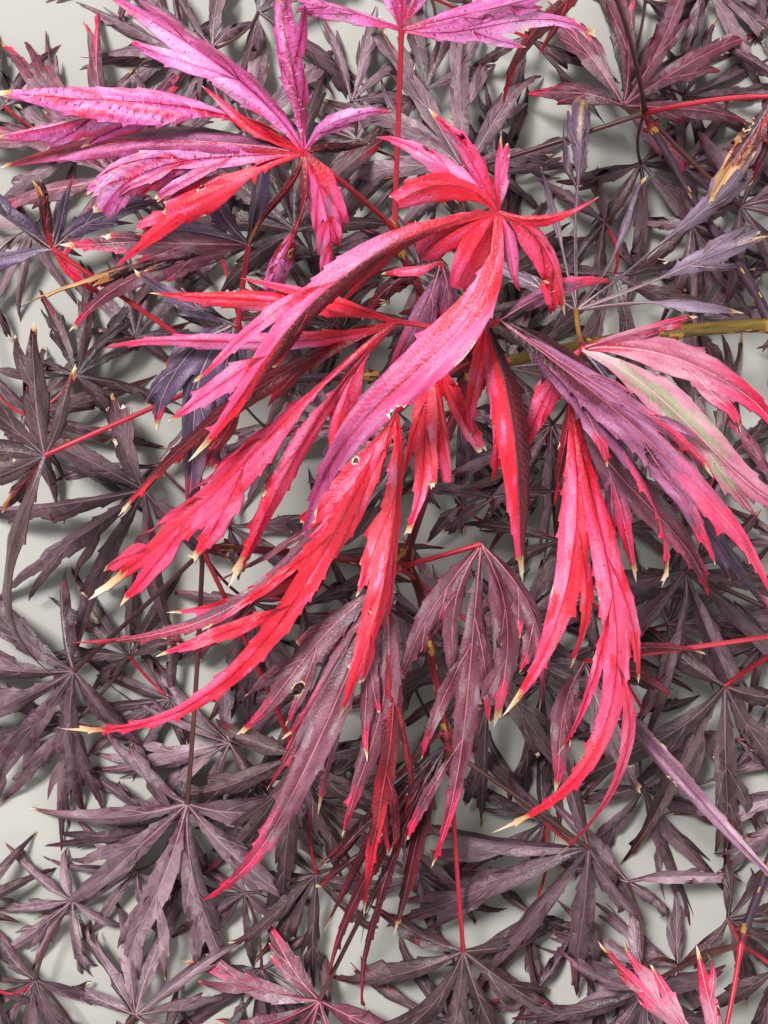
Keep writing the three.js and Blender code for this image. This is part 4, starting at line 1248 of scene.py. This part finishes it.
def ring_faces(count, sides, inward=False):
    """Four-sided faces between rings of vertices that follow one another."""
    faces = []
    for r in range(count - 1):
        for k in range(sides):
            a, b = r * sides + k, r * sides + (k + 1) % sides
            faces.append((b, a, a + sides, b + sides) if inward else (a, b, b + sides, a + sides))
    return faces


def add_round(body, places, radii, sides, tones):
    """A closed round body through these places. radii and tones are for each ring, or each side."""
    across, above = ring_frames(places)
    turn = np.arange(sides) * 2 * np.pi / sides
    radii = np.broadcast_to(np.reshape(radii, (len(places), -1)), (len(places), sides))
    rings = (places[:, None] + across[:, None] * (np.cos(turn) * radii)[..., None]
             + above[:, None] * (np.sin(turn) * radii)[..., None])
    rings[..., 2] = np.maximum(rings[..., 2], FLOOR + 0.05)
    tones = np.broadcast_to(np.reshape(tones, (len(places), -1)), (len(places), sides))
    flat = np.stack([np.broadcast_to(gone_along(places)[:, None], radii.shape), turn * radii], -1)
    last = (len(places) - 1) * sides
    faces = [*ring_faces(len(places), sides), tuple(range(sides))[::-1], tuple(range(last, last + sides))]
    body.add(rings.reshape(-1, 3), faces, [*tones[:-1].ravel(), tones[0, 0], tones[-1, 0]],
             flat.reshape(-1, 2))
    return rings


# The stalk's ramp, for leaves whose tint gives them one of their own
STALK_RAMPS = {"lilac_haze": "ochre", "haze": "stalk_brown", "umber": "stalk_red"}
STALK_SIDES = 10
LIMB_SIDES = 20
BUD_SCALES = 4
BUD_LENGTHS = (1.7, 2.6)
BUD_SEED = 3
# Plain nodes: how far from a limb's foot and tip, from one another, and from where others fork off
NODE_START, NODE_STOP, NODE_STEP, NODE_CLEAR = 24, 12, 31, 13
CUT_PROUD = 0.12                   # how far the cut wood stands out of its bark
CUT_SHARES = (0.9, 0.62, 0.24)     # the radii of its rings, as shares of the limb's


def add_stalk(body, leaf, dice):
    """A leaf's stalk, swollen where it springs from the twig and where its blades meet."""
    fine = leaf["kind"] == "under"
    length = leaf["stalk"].length()
    t = np.linspace(0, 1, max(8, int(length / (4 if fine else 1.6))))
    thick = FINE_TWIG if fine else LEAF_STALK
    radii = thick / 2 * (0.86 + 0.5 * np.exp(-(t * length / 2) ** 2)
                         + 0.25 * np.exp(-((1 - t) * length / 1.6) ** 2))
    level = 0.55 + dice.between(-0.15, 0.1) + 0.12 * np.sin(t * 5 + dice.between(0, 6))
    ramp = STALK_RAMPS.get(leaf["tint"], "stalk_red" if leaf["kind"] == "drawn" else "stalk_brown")
    add_round(body, leaf["stalk"].at(t), radii, 6 if fine else STALK_SIDES, tone(ramp, level))


def limb_nodes(curve):
    """How far along a limb the other limbs and the leaf masses start, and the plain nodes between."""
    starts = [course[0] for _, _, _, course in LIMBS] + [mass["stem"][0] for mass in MASSES.values()]
    found = []
    for start in starts:
        gap = np.linalg.norm(curve.fine - np.array(start, float), axis=1)
        if gap.min() < 3 and gap.argmin() > 3:
            found.append(curve.gone[gap.argmin()])
    plain = [s for s in np.arange(NODE_START, curve.length() - NODE_STOP, NODE_STEP)
             if all(abs(s - other) > NODE_CLEAR for other in found)]
    return found, plain


def add_limb(body, thick, ramp, course, cut, settings):
    """A limb with node swellings, ring scars, grain and lenticels, and a pale face where it is cut."""
    curve = Course(course)
    count = round(curve.length() / (settings.ring_step / MM))
    t = np.linspace(0, 1, count + 1)
    gone, places = t * curve.length(), curve.at(t)
    turn = np.arange(LIMB_SIDES) * 2 * np.pi / LIMB_SIDES
    forks, plain = limb_nodes(curve)
    swell, ringed = np.zeros((2, len(t)))
    for at in forks + plain:
        swell += settings.swelling * np.exp(-((gone - at) / 2.0) ** 2)
        ringed += np.exp(-((gone - at - 2.4) / 0.7) ** 2) + np.exp(-((gone - at + 2.6) / 0.6) ** 2)
    rough = np.array([[ripple(s / 5, math.cos(a) * 1.6, math.sin(a) * 1.6)
                       + 0.5 * ripple(s / 1.3, math.cos(a) * 3, math.sin(a) * 3)
                       for a in turn] for s in gone])
    radius = np.interp(t, (0, 1), thick)[:, None] / 2
    radii = radius * (1 + swell[:, None] - 0.05 * ringed[:, None] + 0.035 * rough)
    streaks = np.array([[ripple(s / 12, math.cos(a) * 2.4, math.sin(a) * 2.4 + 9)
                         for a in turn] for s in gone])
    tones = tone(ramp, 0.45 + 0.3 * streaks + 0.12 * rough)
    pale = tone("node", 0.35 + 0.4 * rough)
    tones = np.where((swell[:, None] > 0.1) & (rough > -0.15), pale, tones)
    dice = Dice(len(course), course[0][0] + 500)
    for _ in range(int(curve.length() / 3)):
        ring, side = int(dice.between(2, count - 3)), int(dice.between(0, LIMB_SIDES))
        tones[ring:ring + 2, side] = tone("node", dice.between(0.45, 0.8))
    rings = add_round(body, places, radii, LIMB_SIDES, tones)
    if cut:
        add_cut_face(body, rings[0], places[0], places[0] - places[1])
    return places, forks + plain, gone


def add_cut_face(body, ring, middle, outward):
    """The cut end: a thin pale disc of wood with darker pith, in the ring of bark."""
    outward = unit(outward) * CUT_PROUD
    sides = len(ring)
    rings = np.array([middle + (ring - middle) * CUT_SHARES[0],
                      *(middle + (ring - middle) * share + outward for share in CUT_SHARES)])
    faces = [*ring_faces(len(rings), sides, inward=True),
             tuple(range(sides)), tuple(range(3 * sides, 4 * sides))[::-1]]
    worn = [*np.repeat(tone("cut_wood", (0.2, 0.9, 0.6)), sides), *tone("cut_wood", (0.5, 0.1))]
    body.add(rings.reshape(-1, 3), faces, worn, rings.reshape(-1, 3)[:, :2])


def add_bud(body, place, way, length, ramp):
    """A small pointed bud in overlapping scales."""
    t = np.linspace(0, 1, 15)
    way = unit(np.array(way, float))
    scales = (t * BUD_SCALES) % 1
    radii = length * 0.3 * np.sin(np.pi * (0.12 + 0.88 * t) ** 0.8) ** 0.8 * (1 + 0.12 * scales) + 0.02
    add_round(body, np.array(place) + way * length * t[:, None], radii, STALK_SIDES,
              tone(ramp, 0.3 + 0.45 * scales))


class MAPLE_PG_blades(bpy.types.PropertyGroup):
    thickness: FloatProperty(name="Thickness", description="Thickness of a leaf blade",
                             default=0.00034, min=0.0001, unit="LENGTH")
    fold: FloatProperty(name="Fold", description="How far a blade's halves fold back from its rib",
                        default=math.radians(32), subtype="ANGLE")
    seed: IntProperty(name="Seed", description="Another seed gives other teeth, folds and patches",
                      default=7)


class MAPLE_PG_bark(bpy.types.PropertyGroup):
    ring_step: FloatProperty(name="Ring step", description="Length of bark between mesh rings",
                             default=0.0008, min=0.0002, unit="LENGTH")
    swelling: FloatProperty(name="Node swelling", description="How much thicker a limb is at a node",
                            default=0.3, min=0.0, subtype="FACTOR")


class MAPLE_PG_stage(bpy.types.PropertyGroup):
    floor_colour: FloatVectorProperty(name="Floor", description="Colour of the plain floor",
                                      default=linear("#BEBBB4")[:3], subtype="COLOR")
    camera_height: FloatProperty(name="Camera height", description="Camera above the floor",
                                 default=0.42, unit="LENGTH")
    key_power: FloatProperty(name="Key light", description="Power of the big soft light",
                             default=260.0, unit="POWER")
    fill_power: FloatProperty(name="Fill light", description="Power of the weaker light",
                              default=60.0, unit="POWER")
    sky: FloatProperty(name="Sky", description="Strength of the even light from all round",
                       default=0.42)


class MAPLE_OT_limbs(bpy.types.Operator):
    """Build the main stem, the boughs and the shoots with their bark, and the buds at their nodes"""
    bl_idname = "maple.limbs"
    bl_label = "Limbs"

    def execute(self, context):
        settings = context.scene.maple_bark
        dice = Dice(BUD_SEED)
        for name, thick, ramp, course in LIMBS:
            body = Body()
            places, nodes, gone = add_limb(body, thick, ramp, course, name == "main_stem", settings)
            for at in nodes:
                i = int(np.argmin(np.abs(gone - at)))
                way = places[min(i + 1, len(places) - 1)] - places[i - 1]
                side = unit(np.cross(way, (dice.between(-1, 1), dice.between(-1, 1), 1.0)))
                for sign in (1, -1):
                    add_bud(body, places[i] + side * sign * thick[1] * 0.45,
                            unit(way) * 0.8 + side * sign, dice.between(*BUD_LENGTHS), "ruby")
            body.build(name + "_bark", [name])
        return {"FINISHED"}


class MAPLE_OT_stalks(bpy.types.Operator):
    """Build the short twigs of the leaf masses and their leaf stalks"""
    bl_idname = "maple.stalks"
    bl_label = "Leaf stalks"

    def execute(self, context):
        for name, leaves in plan_leaves().items():
            body = Body()
            dice = Dice(*map(ord, name), 2)
            stem = Course(MASSES[name]["stem"])
            t = np.linspace(0, 1, 12)
            add_round(body, stem.at(t), TWIG_THICK / 2 * (1.1 - 0.25 * t), 12,
                      tone("ruby", 0.5 + 0.2 * np.sin(t * 9)))
            add_bud(body, stem.at(1)[0], stem.at(1)[0] - stem.at(0.9)[0], BUD_LENGTHS[1], "node")
            for leaf in leaves:
                add_stalk(body, leaf, dice)
            body.build(name.replace("foliage", "stalks"), [name])
        return {"FINISHED"}


class MAPLE_OT_leaves(bpy.types.Operator):
    """Build every leaf's toothed and fingered blades, one piece for each mass of leaves"""
    bl_idname = "maple.leaves"
    bl_label = "Leaves"

    def execute(self, context):
        settings = context.scene.maple_blades
        for name, leaves in plan_leaves().items():
            body = Body()
            for number, leaf in enumerate(leaves):
                for place, (curve, blade) in enumerate(leaf["blades"]):
                    dice = Dice(settings.seed, len(name), *map(ord, name[8:12]), number, place)
                    add_blade(body, curve, blade, dice, leaf["kind"], settings)
            body.build(name.replace("foliage", "leaves"), [name])
        return {"FINISHED"}


class MAPLE_OT_stage(bpy.types.Operator):
    """Lay the plain floor, hang the soft lights and set the camera that looks straight down"""
    bl_idname = "maple.stage"
    bl_label = "Floor, lights and camera"

    def execute(self, context):
        settings = context.scene.maple_stage
        scene = context.scene
        camera = bpy.data.objects.new("camera", bpy.data.cameras.new("camera"))
        height = settings.camera_height / MM
        camera.location = ((SHIFT + (0, 0, height)) * MM).tolist()
        camera.data.sensor_fit = "HORIZONTAL"
        camera.data.sensor_width = SENSOR_WIDTH
        camera.data.lens = SENSOR_WIDTH * FOCAL_PIXELS / PICTURE_WIDTH
        scene.collection.objects.link(camera)
        scene.camera = camera
        mesh = bpy.data.meshes.new("floor")
        corners = [(x * FLOOR_HALF, y * FLOOR_HALF, 0) for x, y in ((-1, -1), (1, -1), (1, 1), (-1, 1))]
        mesh.from_pydata(corners, [], [(0, 1, 2, 3)])
        floor = bpy.data.objects.new("floor", mesh)
        # Matt emulsion, rolled on: it shows no gloss, only the soft shadows
        paint = new_material("matt_floor_paint")
        finish_material(paint, {"Base Color": (*settings.floor_colour, 1.0), "Roughness": 0.8}, {})
        mesh.materials.append(paint)
        scene.collection.objects.link(floor)
        world = bpy.data.worlds.new("soft_studio")
        world.use_nodes = True
        sky = world.node_tree.nodes["Background"]
        sky.inputs["Color"].default_value = linear(SKY_COLOUR)
        sky.inputs["Strength"].default_value = settings.sky
        scene.world = world
        lamps = (("key_light", (-1.6, 1.9, 4.0), 1.2, settings.key_power),
                 ("fill_light", (3.0, -2.0, 2.6), 3.0, settings.fill_power))
        for name, place, size, power in lamps:
            lamp = bpy.data.objects.new(name, bpy.data.lights.new(name, "AREA"))
            lamp.data.size = size
            lamp.data.energy = power
            lamp.location = place
            lamp.rotation_mode = "QUATERNION"
            lamp.rotation_quaternion = (-Vector(place)).to_track_quat("-Z", "Y")
            scene.collection.objects.link(lamp)
        scene.view_settings.view_transform = "Standard"
        return {"FINISHED"}


class MAPLE_PT_branch(bpy.types.Panel):
    bl_label = "Laceleaf Maple Branch"
    bl_idname = "MAPLE_PT_branch"
    bl_space_type = "VIEW_3D"
    bl_region_type = "UI"
    bl_category = "Maple"

    def draw(self, context):
        layout = self.layout
        for settings in (context.scene.maple_blades, context.scene.maple_bark,
                         context.scene.maple_stage):
            for name in settings.__annotations__:
                layout.prop(settings, name)
        for operator in OPERATORS:
            layout.operator(operator.bl_idname)


OPERATORS = (MAPLE_OT_limbs, MAPLE_OT_stalks, MAPLE_OT_leaves, MAPLE_OT_stage)
GROUPS = {"maple_blades": MAPLE_PG_blades, "maple_bark": MAPLE_PG_bark, "maple_stage": MAPLE_PG_stage}


def register():
    """Makes the add-on's classes and its settings known."""
    for cls in (*GROUPS.values(), *OPERATORS, MAPLE_PT_branch):
        bpy.utils.register_class(cls)
    for name, group in GROUPS.items():
        setattr(bpy.types.Scene, name, PointerProperty(type=group))


def unregister():
    """Takes away what register made known."""
    for name in GROUPS:
        delattr(bpy.types.Scene, name)
    for cls in reversed((*GROUPS.values(), *OPERATORS, MAPLE_PT_branch)):
        bpy.utils.unregister_class(cls)


def main():
    """Builds the branch and its stage."""
    register()
    bpy.ops.maple.limbs()
    bpy.ops.maple.stalks()
    bpy.ops.maple.leaves()
    bpy.ops.maple.stage()


if __name__ == "__main__":
    main()
